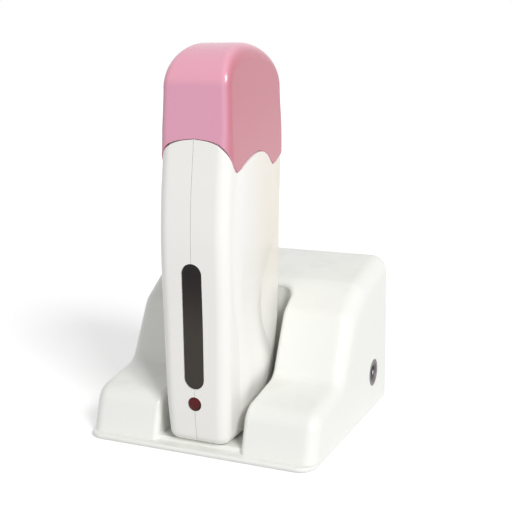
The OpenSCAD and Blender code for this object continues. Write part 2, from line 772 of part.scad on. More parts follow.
module housing_left() {
    color(white) difference() {
        mirror([1, 0, 0]) union() {
            housing_shell();
            half_fittings();
        }
        half_cuts();
        for (p = joint_at) {
            rod_x([-half_w, p[0], p[1]], joint_screw + 0.4, half_w + 1);
            rod_x([-half_w - 2, p[0], p[1]], joint_head + 0.4, half_w + 2 - joint_in);
        }
    }
}

module window_lens() {
    low = front_at(window_mid - window_h / 2);
    high = front_at(window_mid + window_h / 2);
    color([0.2, 0.2, 0.2, 0.8])
        translate([0, (low + high) / 2 + 0.4, window_mid])
            rotate([atan((low - high) / window_h), 0, 0])
                translate([0, 0, -window_mid])
                    capsule(window_w - 0.2, window_h - 0.2, 0, body_wall + 1);
}

module led_lens() {
    color([0.5, 0.05, 0.1]) {
        y0 = front_at(led_z);
        rod_y([0, y0 + 0.4, led_z], led_d, body_wall + 2.4);
        translate([0, y0 + 0.4, led_z]) intersection() {
            scale([1, 0.25, 1]) sphere(d = led_d);
            rod_y([0, -led_d, 0] , led_d, led_d);
        }
    }
}

board_y = front_at(led_z) + 9;
board_t = 1.6;
module control_board() {
    color([0.1, 0.4, 0.2])
        box(-12, 12, board_y, board_y + board_t, mouth_z, foot_z + 34);
}
module board_parts() {
    color([0.15, 0.15, 0.16]) {
        rod_y([0, front_at(led_z) + body_wall + 2.8, led_z], 5, board_y - front_at(led_z) - body_wall - 2.8);
        rod_y([8, board_y + board_t, foot_z + 25], 6, 7);
        box(-10, -4, board_y + board_t, board_y + board_t + 3, foot_z + 20, foot_z + 28);
        box(3, 10, board_y + board_t, board_y + board_t + 2, foot_z + 4, foot_z + 9);
    }
}

module heater_sleeve() {
    color(steel) difference() {
        pad(sleeve_x, sleeve_y, cart_round + 1.6, sleeve_z0, sleeve_z1);
        pad(sleeve_in, sleeve_y - sleeve_t, cart_round + 0.6, sleeve_z0 + sleeve_t, sleeve_z1 + 1);
        box(-4, 4, chamber_y - sleeve_y - 1, chamber_y - sleeve_y + sleeve_t + 1, sleeve_z0 + 8, sleeve_z0 + 52);
    }
}
module heater_plate(s) {
    x0 = s > 0 ? sleeve_x : -sleeve_x - heater_t;
    color([0.85, 0.83, 0.78])
        box(x0, x0 + heater_t, chamber_y - 11, chamber_y + 11, sleeve_z0 + 12, sleeve_z0 + 76);
}
module heater_left() {
    heater_plate(-1);
}
module heater_right() {
    heater_plate(1);
}
module thermostat() {
    color(steel) {
        rod([0, chamber_y + 12, sleeve_z0 - 4.6], 15, 4.6);
        rod([0, chamber_y + 12, sleeve_z0 - 6.2], 11, 1.6);
    }
}
module thermal_fuse() {
    color([0.8, 0.78, 0.7])
        rod_y([0, chamber_y - 17, sleeve_z0 - 2], 4, 12);
}
neck_in_all = neck_in + neck_wall + 0.1;
neck_half = cap_half(neck_top) - neck_in_all;
neck_outline = [for (u = half_us) section(u, neck_top, neck_in_all, neck_half, cap_round(neck_top))];
module chamber_bezel() {
    color(white) difference() {
        translate([0, 0, sleeve_z1]) linear_extrude(neck_top - sleeve_z1)
            polygon(concat(neck_outline, back([for (p = neck_outline) [-p[0], p[1]]])));
        pad(sleeve_in, sleeve_y - sleeve_t, cart_round + 0.6, sleeve_z1 - 1, neck_top + 1);
    }
}
module handset_inlet() {
    color(black) difference() {
        box(-block_x, block_x, dock_y - block_y, dock_y + block_y, mouth_z, recess_z + 5);
        lobes(recess_d, mouth_z - 1, recess_z);
        for (s = [-1, 1])
            rod([0, dock_y + s * contact_pitch / 2, recess_z - 1], contact_d, 8);
    }
}
module handset_pins() {
    color(brass)
        for (s = [-1, 1])
            rod([0, dock_y + s * contact_pitch / 2, floor_z + 4], contact_d, recess_z + 8 - floor_z - 4);
}
module housing_screws() {
    color(steel)
        for (p = joint_at) {
            rod_x([-joint_in - 1.4, p[0], p[1]], joint_head, 1.4);
            rod_x([-joint_in - 1.4, p[0], p[1]], joint_screw, joint_in + 10);
        }
}
module heater_leads() {
    z = recess_z + 7.2;
    top = foot_z + 31;
    color([0.6, 0.1, 0.1])
        for (s = [-1, 1])
            lead([
                [s * (contact_d / 2 + 0.02), dock_y + s * contact_pitch / 2, z],
                [s * 7, dock_y + s * contact_pitch / 2, z],
                [s * 9, dock_y - 8, top],
                [s * 9, board_y + board_t, top],
            ], 1.4);
}

// ---- Cap ----

module cap() {
    color(pink) cap_shell();
}

// ---- Cartridge and roller ----

neck_x = 9;
neck_y = cart_y - 6;
module cartridge_bottle() {
    color([0.95, 0.93, 0.85]) difference() {
        union() {
            pad(cart_x, cart_y, cart_round, cart_z0, cart_z1);
            hull() {
                pad(cart_x - 0.4, cart_y - 0.4, cart_round, cart_z1 - 0.6, cart_z1 + 0.4);
                pad(neck_x + 1, neck_y + 1, 6, cart_z1 + 4, cart_z1 + 4.2);
            }
            pad(neck_x, neck_y, 6, cart_z1 + 4, head_z);
        }
        pad(cart_x - 1.2, cart_y - 1.2, cart_round - 1.2, cart_z0 + 1.2, cart_z1 - 1);
        pad(neck_x - 1.4, neck_y - 1.4, 4.6, cart_z1 - 2, head_z + 1);
    }
}
module wax_fill() {
    color([0.85, 0.6, 0.25])
        pad(cart_x - 1.2, cart_y - 1.2, cart_round - 1.2, cart_z0 + 1.2, cart_z1 - 10);
}
module roller_head() {
    color([0.93, 0.93, 0.9]) difference() {
        union() {
            pad(cart_x - 1.6, arm_y + arm_t + 1, 5, head_z - 3, head_z + 3);
            for (s = [-1, 1]) {
                y = chamber_y + (s > 0 ? arm_y : -arm_y - arm_t);
                box(-6, 6, y, y + arm_t, head_z, axle_z);
                rod_y([0, y, axle_z], 12, arm_t);
            }
        }
        pad(neck_x, neck_y, 6, head_z - 4, head_z);
        box(-2, 2, chamber_y - arm_y + 3, chamber_y + arm_y - 3, head_z - 1, head_z + 4);
        rod_y([0, chamber_y - arm_y, axle_z], roller_d + 2, 2 * arm_y);
        rod_y([0, chamber_y - arm_y - arm_t - 1, axle_z], axle_d, 2 * (arm_y + arm_t + 1));
    }
}
module roller_axle() {
    color(steel) rod_y([0, chamber_y - arm_y - arm_t, axle_z], axle_d, 2 * (arm_y + arm_t));
}
module roller() {
    color([0.9, 0.9, 0.88]) difference() {
        rod_y([0, chamber_y - roller_l / 2, axle_z], roller_d, roller_l);
        rod_y([0, chamber_y - roller_l / 2 - 1, axle_z], axle_d + 2 * run_clear, roller_l + 2);
    }
}

base_shell();
base_plate();
base_feet();
base_screws();
power_inlet();
inlet_pin();
dock_connector();
dock_sleeves();
base_leads();
housing_left();
housing_right();
window_lens();
led_lens();
control_board();
board_parts();
heater_sleeve();
heater_left();
heater_right();
thermostat();
thermal_fuse();
chamber_bezel();
handset_inlet();
handset_pins();
housing_screws();
heater_leads();
cap();
cartridge_bottle();
wax_fill();
roller_head();
roller_axle();
roller();
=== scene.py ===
"""Roll-on wax cartridge heater standing in its docking base."""
import json
import math

import bmesh
import bpy
import numpy as np
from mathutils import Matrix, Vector


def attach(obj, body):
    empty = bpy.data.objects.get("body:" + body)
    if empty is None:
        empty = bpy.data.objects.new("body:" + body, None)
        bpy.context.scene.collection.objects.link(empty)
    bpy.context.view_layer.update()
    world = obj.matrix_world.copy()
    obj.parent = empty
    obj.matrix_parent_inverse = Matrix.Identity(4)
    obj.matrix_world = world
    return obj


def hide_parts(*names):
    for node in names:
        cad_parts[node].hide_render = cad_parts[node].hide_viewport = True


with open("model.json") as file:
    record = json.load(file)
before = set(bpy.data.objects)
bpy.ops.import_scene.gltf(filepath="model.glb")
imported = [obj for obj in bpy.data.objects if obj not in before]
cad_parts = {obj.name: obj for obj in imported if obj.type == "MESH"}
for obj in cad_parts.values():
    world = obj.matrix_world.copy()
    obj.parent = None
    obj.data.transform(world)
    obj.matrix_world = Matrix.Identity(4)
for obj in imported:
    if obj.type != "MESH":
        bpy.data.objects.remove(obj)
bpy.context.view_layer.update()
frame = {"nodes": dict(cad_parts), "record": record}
nodes = frame["nodes"]
MM = 0.001

# Sizes in millimetres. TOP_EDGE, SEAM_W, CROWN_CORNER, LED_D, LED_Z and, further down, PROFILE_R, CAP_GAP
# and the small rims differ from the solids.
BASE_W, BASE_D, BASE_H, BLOCK_H = 130.0, 135.6, 89.0, 26.0
BASE_WALL, BASE_EDGE, TOP_EDGE = 2.2, 7.0, 9.4
POCKET_EDGE, POCKET_CORNER, POCKET_BACK = 3.0, 8.0, 12.0
PLATE_Z, PLATE_CORNER = 0.8, 9.0
SHELL_Z, FLOOR_Z, FLOOR_T = 2.8, 4.7, 1.5
FRONT_Y, REAR_Y = -63.4, 67.8
BODY_H, BODY_D = 205.0, 76.6
HALF_W, PANEL_RISE, BODY_CORNER, FOOT_ROUND, BODY_WALL = 20.8, 1.5, 6.5, 5.0, 2.0
SIDE_W = HALF_W - PANEL_RISE
FOOT_Z = FLOOR_Z + 0.3
TOP_Z = FOOT_Z + BODY_H
MOUTH_Z = FOOT_Z + BODY_WALL
FRONT_OUT = -67.8
REAR_OUT = FRONT_OUT + BODY_D
SEAM_W = 0.22
CAP_W, CAP_WALL, CAP_LINE = SIDE_W + 0.6, 1.8, 158.0
CAP_TAPER, CAP_CORNER, CROWN_CORNER, TAPER_Z = 1.2, 4.4, 9.0, FOOT_Z + 145
NECK_IN, NECK_WALL, NECK_TOP = 2.2, 1.7, FOOT_Z + 163
CROWN_Z, CROWN_Y, CROWN_N = TOP_Z - 23, FRONT_OUT + 39, 2.1
POCKET_X = HALF_W + 0.4 + 3.0
WINDOW_W, WINDOW_H, WINDOW_MID = 11.4, 66.2, FOOT_Z + 63.3
LED_D, LED_Z = 7.4, FOOT_Z + 22.2
PANE_SUNK, PANE_RIM = 0.45, 0.5
INLET_D, INLET_BORE, INLET_Y, INLET_Z = 15.8, 8.4, 36.5, 22.5
DOCK_Y, CONTACT_PITCH, POST_D = FRONT_OUT + 40.6, 8.6, 8.0
RECESS_D, RECESS_Z = POST_D + 0.8, FLOOR_Z + 13
GROOVE_END = POCKET_BACK + BASE_WALL + 5
SCREW_X = BASE_W / 2 - BASE_WALL - 3
BOSS_R, BOSS_HOLE_R, SCREW_WAY_R, SCREW_SEAT_R = 3.5, 1.15, 1.6, 2.8
GROOVE_HALF = 2.5
BASE_SCREWS = [(s * SCREW_X, y) for s in (-1, 1) for y in (FRONT_Y + 11, REAR_Y - 10)]
JOINTS = [
    (FRONT_OUT + 7.6, FOOT_Z + 0.55 * BODY_H),
    (REAR_OUT - 7.9, FOOT_Z + 0.55 * BODY_H),
    (FRONT_OUT + 22, FOOT_Z + 9),
    (FRONT_OUT + 55.5, FOOT_Z + 17),
]
POST_R, PILOT_R, WAY_R, HEAD_R, HEAD_SIDES = 3.0, 1.05, 1.4, 2.5, 56
SHARP_DEG, SOLID_SHARP_DEG = 35, 30


# ---- Curves ----

def mix(a, b, t):
    """Straight blend a + (b - a) t."""
    return a + (b - a) * t


def unit(v):
    """Vectors of length one."""
    return v / np.linalg.norm(v, axis=-1, keepdims=True)


def along(z, stations):
    """Cubic through stations (share of the height, value); the tangent at each joins its two neighbours."""
    s = np.array(stations, float)
    n = len(s)
    after, before = np.minimum(np.arange(n) + 1, n - 1), np.maximum(np.arange(n) - 1, 0)
    m = (s[after, 1] - s[before, 1]) / (s[after, 0] - s[before, 0])
    x = np.clip(z, s[0, 0], s[-1, 0])
    i = np.clip(np.searchsorted(s[:, 0], x, side="left") - 1, 0, n - 2)
    h = s[i + 1, 0] - s[i, 0]
    t = (x - s[i, 0]) / h
    return ((2 * t**3 - 3 * t**2 + 1) * s[i, 1] + (t**3 - 2 * t**2 + t) * h * m[i]
            + (3 * t**2 - 2 * t**3) * s[i + 1, 1] + (t**3 - t**2) * h * m[i + 1])


def fall(d, r):
    """Drop of a rounded edge of radius r at distance d from its side: r - sqrt(r^2 - (r - d)^2), 0 past r."""
    k = np.clip(r - np.maximum(d, 0), 0, r)
    return r - np.sqrt(np.maximum(r * r - k * k, 0))


# ---- Meshes ----

def raw_mesh(name, points, faces):
    """A closed mesh in millimetres, merged, with its faces pointing outwards."""
    mesh = bpy.data.meshes.new(name)
    lists = [tuple(q) for f in faces for q in (f.tolist() if isinstance(f, np.ndarray) else f)]
    mesh.from_pydata(np.asarray(points, float).reshape(-1, 3).tolist(), [], lists)
    bm = bmesh.new()
    bm.from_mesh(mesh)
    bmesh.ops.remove_doubles(bm, verts=bm.verts, dist=1e-3)
    bmesh.ops.dissolve_degenerate(bm, edges=bm.edges, dist=1e-4)
    bmesh.ops.recalc_face_normals(bm, faces=bm.faces)
    bm.to_mesh(mesh)
    bm.free()
    return mesh


def numbered(first, rows, across):
    """Point numbers of a grid, from first on."""
    return first + np.arange(rows * across).reshape(rows, across)


def wrapped(grid):
    """A grid with its first column again at its end, so that its rows close."""
    return np.concatenate([grid, grid[:, :1]], 1)


def grid_faces(n):
    """Quads between neighbouring rows and columns of a grid of point numbers."""
    return np.stack([n[:-1, :-1], n[:-1, 1:], n[1:, 1:], n[1:, :-1]], -1).reshape(-1, 4)


def strip_faces(a, b):
    """Quads between two lines of point numbers of equal length."""
    return np.stack([a[:-1], a[1:], b[1:], b[:-1]], -1)


def closed_rings(name, rings):
    """A closed mesh over rings of equal length, with a flat face on the first and on the last."""
    rings = np.asarray(rings)
    grid = numbered(0, *rings.shape[:2])
    return raw_mesh(name, rings, [grid_faces(wrapped(grid)), [tuple(grid[0]), tuple(grid[-1])]])


def prism(name, outline, axis, low, high):
    """A closed plan outline carried straight along one axis from low to high."""
    outline = np.asarray(outline, float)
    n = len(outline)
    ends = []
    for level in (low, high):
        ends.append(np.insert(outline, axis, level, axis=1))
    ring = np.arange(n)
    nxt = (ring + 1) % n
    sides = np.stack([ring, nxt, nxt + n, ring + n], -1)
    return raw_mesh(name, np.concatenate(ends), [sides, [tuple(ring)], [tuple(ring[::-1] + n)]])


def circle(centre, r, n=48):
    """Points round a circle, half a step turned."""
    w = 2 * np.pi * (np.arange(n) + 0.5) / n
    return np.stack([centre[0] + r * np.cos(w), centre[1] + r * np.sin(w)], -1)


def lobed(centre, r, reach, n=48):
    """A circle cut in two along its second axis, with the halves set apart by 2 reach."""
    p = circle(centre, r, n)
    p[:, 1] += reach * np.sign(p[:, 1] - centre[1])
    return p


def finish(name, mesh, body, material, replaces=(), add=(), cut=()):
    """Joins and cuts the meshes of a piece, turns it to metres, gives it its finish and smooth shading, and
    parents it to its body, hiding the solids that it replaces.
    """
    scene = bpy.context.scene.collection
    obj = bpy.data.objects.new(name, mesh)
    scene.objects.link(obj)
    for kind, tools in (("UNION", add), ("DIFFERENCE", cut)):
        for tool in tools:
            other = bpy.data.objects.new("tool", tool)
            scene.objects.link(other)
            step = obj.modifiers.new("step", "BOOLEAN")
            step.operation, step.solver, step.object = kind, "EXACT", other
            deps = bpy.context.evaluated_depsgraph_get()
            deps.update()
            result = bpy.data.meshes.new_from_object(obj.evaluated_get(deps))
            obj.modifiers.clear()
            obj.data = result
            bpy.data.objects.remove(other)
    obj.data.name = name
    obj.data.transform(np.diag([MM, MM, MM, 1.0]))
    obj.data.materials.clear()
    obj.data.materials.append(material)
    obj.data.polygons.foreach_set("material_index", np.zeros(len(obj.data.polygons), np.int32))
    obj.data.shade_smooth()
    obj.data.set_sharp_from_angle(angle=math.radians(SHARP_DEG))
    flat = obj.modifiers.new("flat faces", "WEIGHTED_NORMAL")
    flat.keep_sharp, flat.weight = True, 60
    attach(obj, body)
    if replaces:
        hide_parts(*replaces)
    return obj


# ---- Base ----

PROFILE = np.array([
    [FRONT_Y, SHELL_Z], [FRONT_Y + 0.05 * BASE_D, BLOCK_H], [-0.15 * BASE_D, BLOCK_H + 0.072 * BASE_H],
    [-0.033 * BASE_D, 0.736 * BASE_H], [0.125 * BASE_D, 0.888 * BASE_H], [REAR_Y - 1.2, 1.014 * BASE_H],
    [REAR_Y, SHELL_Z],
])
PROFILE_R = [0, 12.0, 9.0, 14.0, 13.0, 10.0, 0]
ARC_STEPS, EDGE_STEPS, CORNER_STEPS, POCKET_ROWS = 12, 11, 14, 16


def fillet(p, c, q, r):
    """Arc of radius r in corner c, as depth, height and normal.

    Its centre is on the bisector, at r / sin(half) from the corner.
    """
    u, v = unit(p - c), unit(q - c)
    half = np.arccos(u @ v) / 2
    o = c + unit(u + v) * r / np.sin(half)
    s = c + u * r / np.tan(half) - o
    bend = np.sign(u[0] * v[1] - u[1] * v[0])
    w = np.arctan2(s[1], s[0]) - bend * (np.pi - 2 * half) * np.linspace(0, 1, ARC_STEPS + 1)
    n = np.stack([np.cos(w), np.sin(w)], -1)
    return np.hstack([o + r * n, bend * n])


PATH = np.vstack([fillet(PROFILE[i - 1], PROFILE[i], PROFILE[i + 1], PROFILE_R[i]) for i in range(1, 6)])


def path_at(y):
    """Profile point at depth y, straight between two path points."""
    return np.stack([np.interp(y, PATH[:, 0], PATH[:, k]) for k in range(4)], -1)


def pocket_gap(x, y, g):
    """Distance to the pocket's plan outline grown by g: that of a rectangle with rounded corners."""
    r = POCKET_CORNER + g
    qx, qy = np.abs(x) - (POCKET_X + g - r), y - (POCKET_BACK + g - r)
    return np.hypot(np.maximum(qx, 0), np.maximum(qy, 0)) + np.minimum(np.maximum(qx, qy), 0) - r


def side_edge(z):
    """Radius of the side's edge at height z: BASE_EDGE on the blocks, easing to TOP_EDGE at the top."""
    t = np.clip((z - BLOCK_H) / (0.8 * BASE_H - BLOCK_H), 0, 1)
    return mix(BASE_EDGE, TOP_EDGE, t * t * (3 - 2 * t))


def shell_skin(x, p, g, w):
    """Profile point p at column x, moved in along its normal by g and by the fall of the nearest edge."""
    x = np.broadcast_to(x, p.shape[:-1])
    side = fall(w - np.abs(x), side_edge(p[..., 1]) - g)
    m = g + np.maximum(side, fall(pocket_gap(x, p[..., 0], g), POCKET_EDGE - g))
    return np.stack([x, p[..., 0] - m * p[..., 2], p[..., 1] - m * p[..., 3]], -1)


def shell_columns(g):
    """Columns of the shell moved in by g: those behind the pocket's floor, then those over a block."""
    w = BASE_W / 2 - g
    r, s, a, b, c = POCKET_CORNER + g, POCKET_X + g, POCKET_EDGE - g, BASE_EDGE - g, TOP_EDGE - g
    turn = np.linspace(0, np.pi / 2, CORNER_STEPS + 1)
    slant = np.linspace(0, np.pi / 2, EDGE_STEPS + 1)
    xf = np.concatenate([np.linspace(0, s - r, 5)[:-1], s - r + r * np.sin(turn)])
    xw = np.concatenate([s + a * (1 - np.cos(slant)), np.linspace(s + a, w - c, 6)[1:-1],
                         w - c * (1 - np.cos(slant[::-1]))])
    low = PATH[PATH[:, 0] < POCKET_BACK - POCKET_CORNER - 1]
    rear = PATH[PATH[:, 0] > POCKET_BACK + POCKET_EDGE + BASE_WALL + 0.1]
    end = POCKET_BACK + g + POCKET_EDGE
    foot_m = unit(np.array([PROFILE[0, 1] - PROFILE[1, 1], PROFILE[1, 0] - PROFILE[0, 0]]))

    def back_part(x, start):
        """Rows from the pocket's rim over the top and down the rear."""
        rim = path_at(mix(start[:, None], end, np.linspace(0, 1, POCKET_ROWS + 1)))
        over = np.broadcast_to(rear, (len(x),) + rear.shape)
        top = shell_skin(x[:, None], np.concatenate([rim, over], 1), g, w)
        foot = np.stack([x, REAR_Y - g - fall(w - np.abs(x), b), np.full_like(x, SHELL_Z)], -1)
        return np.concatenate([top, foot[:, None]], 1)

    m = g + fall(w - np.abs(xw), b) + fall(np.abs(xw) - s, a)
    foot = np.stack([xw, PROFILE[0, 0] - m / foot_m[0], np.full_like(xw, SHELL_Z)], -1)
    over = shell_skin(xw[:, None], np.broadcast_to(low, (len(xw),) + low.shape), g, w)
    blocks = np.concatenate([foot[:, None], over,
                             back_part(xw, np.full_like(xw, POCKET_BACK - POCKET_CORNER))], 1)

    q = np.maximum(0, np.abs(xf) - (s - r))
    wall = POCKET_BACK + g - r + np.sqrt(np.maximum(r * r - q * q, 0))
    lip_y = PROFILE[0, 0] - (g + fall(0.0, a)) / foot_m[0] + g
    y0 = lip_y + (0 if g else 1)
    y = mix(y0, wall[:, None], np.linspace(0, 1, len(low)))
    floor = np.stack([np.broadcast_to(xf[:, None], y.shape), y,
                      np.full_like(y, FLOOR_Z - (FLOOR_T if g else 0))], -1)
    lip = np.stack([xf, np.full_like(xf, lip_y), np.full_like(xf, SHELL_Z)], -1)
    middle = np.concatenate([lip[:, None], floor, back_part(xf, wall)], 1)
    half = np.concatenate([middle, blocks])
    return np.concatenate([half[:0:-1] * np.array([-1, 1, 1]), half])


def base_shell_mesh():
    """Outer and inner column grids, closed by strips along the foot and round the two sides."""
    outer, inner = shell_columns(0.0), shell_columns(BASE_WALL)
    grid = numbered(0, *outer.shape[:2])
    far = grid.size
    return raw_mesh("base", np.concatenate([outer.reshape(-1, 3), inner.reshape(-1, 3)]), [
        grid_faces(grid), grid_faces(grid + far),
        strip_faces(grid[:, 0], grid[:, 0] + far), strip_faces(grid[:, -1], grid[:, -1] + far),
        [tuple(grid[i] + o) for i in (0, -1) for o in (0, far)],
        [(grid[i, 0], grid[i, 0] + far, grid[i, -1] + far, grid[i, -1]) for i in (0, -1)],
    ])


# ---- Handset ----

FRONT_LINE = [(0, 4.6), (0.11, 2.5), (0.32, 1.5), (0.51, 0), (0.63, 1.1), (0.71, 3.2), (0.77, 4.7), (0.87, 6)]
REAR_LINE = [(0, 19), (0.07, 13), (0.13, 9), (0.18, 6.6), (0.24, 3.9), (0.3, 2.8), (0.4, 2.6),
             (0.55, 2), (0.71, 0), (0.87, 2)]
SIDE_LINE = [(0, 1.9), (0.07, 1.3), (0.17, 0.7), (0.28, 0.3), (0.42, 0)]
RISE_LINE = [(0.05, 0), (0.1, 0.6), (0.16, 1.8), (0.22, 1.4), (0.32, 1), (1, 1)]
PANEL_FRONT = [(0, 20), (0.2, 17.2), (0.27, 15.5), (0.33, 12), (0.4, 9.1), (0.48, 7.6), (0.56, 8.8),
               (0.69, 13.8)]
PANEL_REAR = [(0, 59), (0.16, 62.5), (0.24, 52.2), (0.29, 46.3), (0.34, 44.9), (0.4, 47.4), (0.5, 65),
              (0.56, 67.5), (0.69, 60.6)]
CAP_EDGE = [(0, 0), (0.6, -1), (1, -2.8), (1.5, -6.5), (2, -13), (2.15, -16.5), (2.3, -12.2), (2.45, -9),
            (2.58, -8.2), (2.7, -10.6), (2.85, -16.4), (3, -12.4), (4, -8.5), (5, -7)]
PANEL_U = (2.15, 2.85)


def share(z):
    """Height as a share of the handset's own."""
    return (z - FOOT_Z) / BODY_H


def front_at(z):
    """Depth of the front face at height z."""
    return FRONT_OUT + along(share(z), FRONT_LINE)


def rear_at(z):
    """Depth of the rear face at height z."""
    return REAR_OUT - along(share(z), REAR_LINE)


def side_at(z):
    """Half width between the side panels at height z."""
    return SIDE_W - along(share(z), SIDE_LINE)


def edge_at(u):
    """Height of the cap's line round the section."""
    return FOOT_Z + CAP_LINE + along(u, CAP_EDGE)


def taper(z):
    """How far the cap has narrowed at height z, from 0 at its line to 1 at its crown."""
    return np.maximum(0, z - TAPER_Z) / (CROWN_Z - TAPER_Z)


def cap_half(z):
    """Half width of the cap at height z."""
    return CAP_W - CAP_TAPER * taper(z)


def cap_round(z):
    """Radius of the cap's upright corners at height z."""
    return mix(BODY_CORNER, CAP_CORNER, np.minimum(2.2 * taper(z), 1))


def panel_at(u, z):
    """Rise of the side panel: a quarter sine up from its front edge and a wider one down to its rear edge."""
    t = np.clip((u - PANEL_U[0]) / (PANEL_U[1] - PANEL_U[0]), 0, 1)
    front = np.sin(np.minimum(t / 0.22, 1) * np.pi / 2)
    rear = np.sin(np.minimum((1 - t) / 0.45, 1) * np.pi / 2)
    return PANEL_RISE * along(share(z), RISE_LINE) * front * rear


def section(u, z, inset, w, corner):
    """Half outline at height z: front 0-1, corner 1-2, side 2-3, corner 3-4, rear 4-5, moved in by inset."""
    u, z, inset, w = np.broadcast_arrays(u, z, inset, w)
    r = np.maximum(corner - inset, 1)
    yf, yr = front_at(z) + inset, rear_at(z) - inset
    a, d = yf + r, yr - r
    b = np.clip(FRONT_OUT + along(share(z), PANEL_FRONT), a + 0.4, d - 4)
    c = np.clip(FRONT_OUT + along(share(z), PANEL_REAR), b + 3, d - 0.4)
    x0, x1 = SEAM_W / 2, w - r
    p, q = PANEL_U
    f, e = (u - 1) * np.pi / 2, (u - 3) * np.pi / 2
    on = [u <= 1, u <= 2, u <= p, u <= q, u <= 3, u <= 4]
    x = np.select(on, [mix(x0, x1, u), x1 + r * np.sin(f), w, w, w, x1 + r * np.cos(e)], mix(x1, x0, u - 4))
    y = np.select(on, [yf, a - r * np.cos(f), mix(a, b, (u - 2) / (p - 2)), mix(b, c, (u - p) / (q - p)),
                       mix(c, d, (u - q) / (3 - q)), d + r * np.sin(e)], yr)
    return np.stack([x, y, z], -1)


def round_places():
    """Places round the half section, closer together in the corners and at the panel's edges."""
    arc = np.linspace(0, 1, 13)[1:]
    step = np.linspace(0.02, 0.22, 9)
    panel = np.concatenate([step, np.linspace(0.26, 0.74, 11), 1 - step[::-1], [1]])
    return np.concatenate([np.linspace(0, 1, 9), 1 + arc, np.linspace(2, 2.15, 4)[1:], 2.15 + 0.7 * panel,
                           np.linspace(2.85, 3, 4)[1:], 3 + arc, np.linspace(4, 5, 9)[1:]])


US = round_places()
LEDGE_R, NECK_RIM = 0.25, 0.4


def body_row(u, z, inset=0.0):
    """Outer skin of the handset: the section with its foot rounded off, plus the panel."""
    f = fall(z - FOOT_Z, FOOT_ROUND) + inset
    p = section(u, z, f, side_at(z) - f, BODY_CORNER)
    p[..., 0] += panel_at(u, z)
    return p


def neck_row(u, z, inset):
    """Neck under the cap: the cap's section moved in by inset."""
    return section(u, z, inset, cap_half(z) - inset, cap_round(z))


def inner_row(u, z):
    """Inner skin: the section moved in by the wall, with its own rounded foot."""
    f = BODY_WALL + fall(z - MOUTH_Z, FOOT_ROUND - BODY_WALL)
    return section(u, z, f, side_at(z) - f, BODY_CORNER)


def housing_mesh():
    """Half shell on +X: rows up to the ledge, over the neck and down inside, closed at the seam."""
    arc = np.linspace(0, np.pi / 2, 9)
    foot = FOOT_Z + FOOT_ROUND * (1 - np.cos(arc))
    wall = np.linspace(FOOT_Z + FOOT_ROUND, FOOT_Z + 0.62 * BODY_H, 56)[1:]
    outer = [body_row(US, z) for z in np.concatenate([foot, wall])]
    edge = edge_at(US)
    outer += [body_row(US, mix(wall[-1], edge - LEDGE_R, t)) for t in np.linspace(0, 1, 13)[1:]]
    outer += [body_row(US, edge - LEDGE_R + LEDGE_R * np.sin(w), LEDGE_R * (1 - np.cos(w)))
              for w in arc[2::2]]
    outer += [neck_row(US, mix(edge, NECK_TOP - NECK_RIM, t), NECK_IN) for t in np.linspace(0, 1, 7)]
    outer += [neck_row(US, NECK_TOP, NECK_IN + NECK_RIM)]
    inner = [neck_row(US, z, NECK_IN + NECK_WALL) for z in (NECK_TOP, FOOT_Z + BODY_H * 0.67)]
    inner += [inner_row(US, z) for z in np.linspace(FOOT_Z + 0.645 * BODY_H, MOUTH_Z + 3, 24)]
    inner += [inner_row(US, MOUTH_Z + (FOOT_ROUND - BODY_WALL) * (1 - np.sin(w))) for w in arc[1:]]
    rows = np.array(outer + inner)
    grid = numbered(0, *rows.shape[:2])
    seam = np.concatenate([grid[:, 0], grid[::-1, -1]])
    return raw_mesh("housing", rows, [grid_faces(grid), [tuple(grid[0]), tuple(grid[-1]), tuple(seam)]])


def flipped_x(mesh):
    """The same closed mesh on the other side of X = 0."""
    other = mesh.copy()
    other.transform(np.diag([-1.0, 1, 1, 1]))
    other.flip_normals()
    return other


def capsule(w, h, n=48):
    """Outline in width and height of an upright slot with round ends."""
    return lobed((0.0, WINDOW_MID), w / 2, (h - w) / 2, n)


# ---- Cap ----

CROWN_STEPS, CAP_RIM, CAP_GAP, CAP_ROWS = 48, 0.4, 0.2, 14


def power(v, e):
    """Signed power."""
    return np.sign(v) * np.abs(v) ** e


def crown():
    """Superellipse arch from the front face over to the rear one, as depth, height and normal."""
    w = np.pi * np.arange(1, CROWN_STEPS) / CROWN_STEPS
    c, s = np.cos(w), np.sin(w)
    a = np.where(c > 0, CROWN_Y - front_at(CROWN_Z), rear_at(CROWN_Z) - CROWN_Y)
    b = TOP_Z - CROWN_Z
    n = unit(np.stack([-power(c, 2 - 2 / CROWN_N) / a, power(s, 2 - 2 / CROWN_N) / b], -1))
    at = np.stack([CROWN_Y - a * power(c, 2 / CROWN_N), CROWN_Z + b * power(s, 2 / CROWN_N)], -1)
    return np.hstack([at, n])


def arch_rows(arch, us, g):
    """Rows over the arch, moved in by g: flat across, then a quarter turn that widens towards the top."""
    turn = np.linspace(0, np.pi, len(arch) + 2)[1:-1, None]
    r = mix(CAP_CORNER, CROWN_CORNER, np.sin(turn) ** 2) - g
    w = cap_half(CROWN_Z) - g
    f = np.maximum(us - 1, 0) * np.pi / 2
    x = mix(SEAM_W / 2, w - r, np.minimum(us, 1)) + r * np.sin(f)
    d = g + r * (1 - np.cos(f))
    z = arch[:, 1:2] - arch[:, 3:] * d
    return np.stack([x * (cap_half(z) - g) / w, arch[:, :1] - arch[:, 2:3] * d, z], -1)


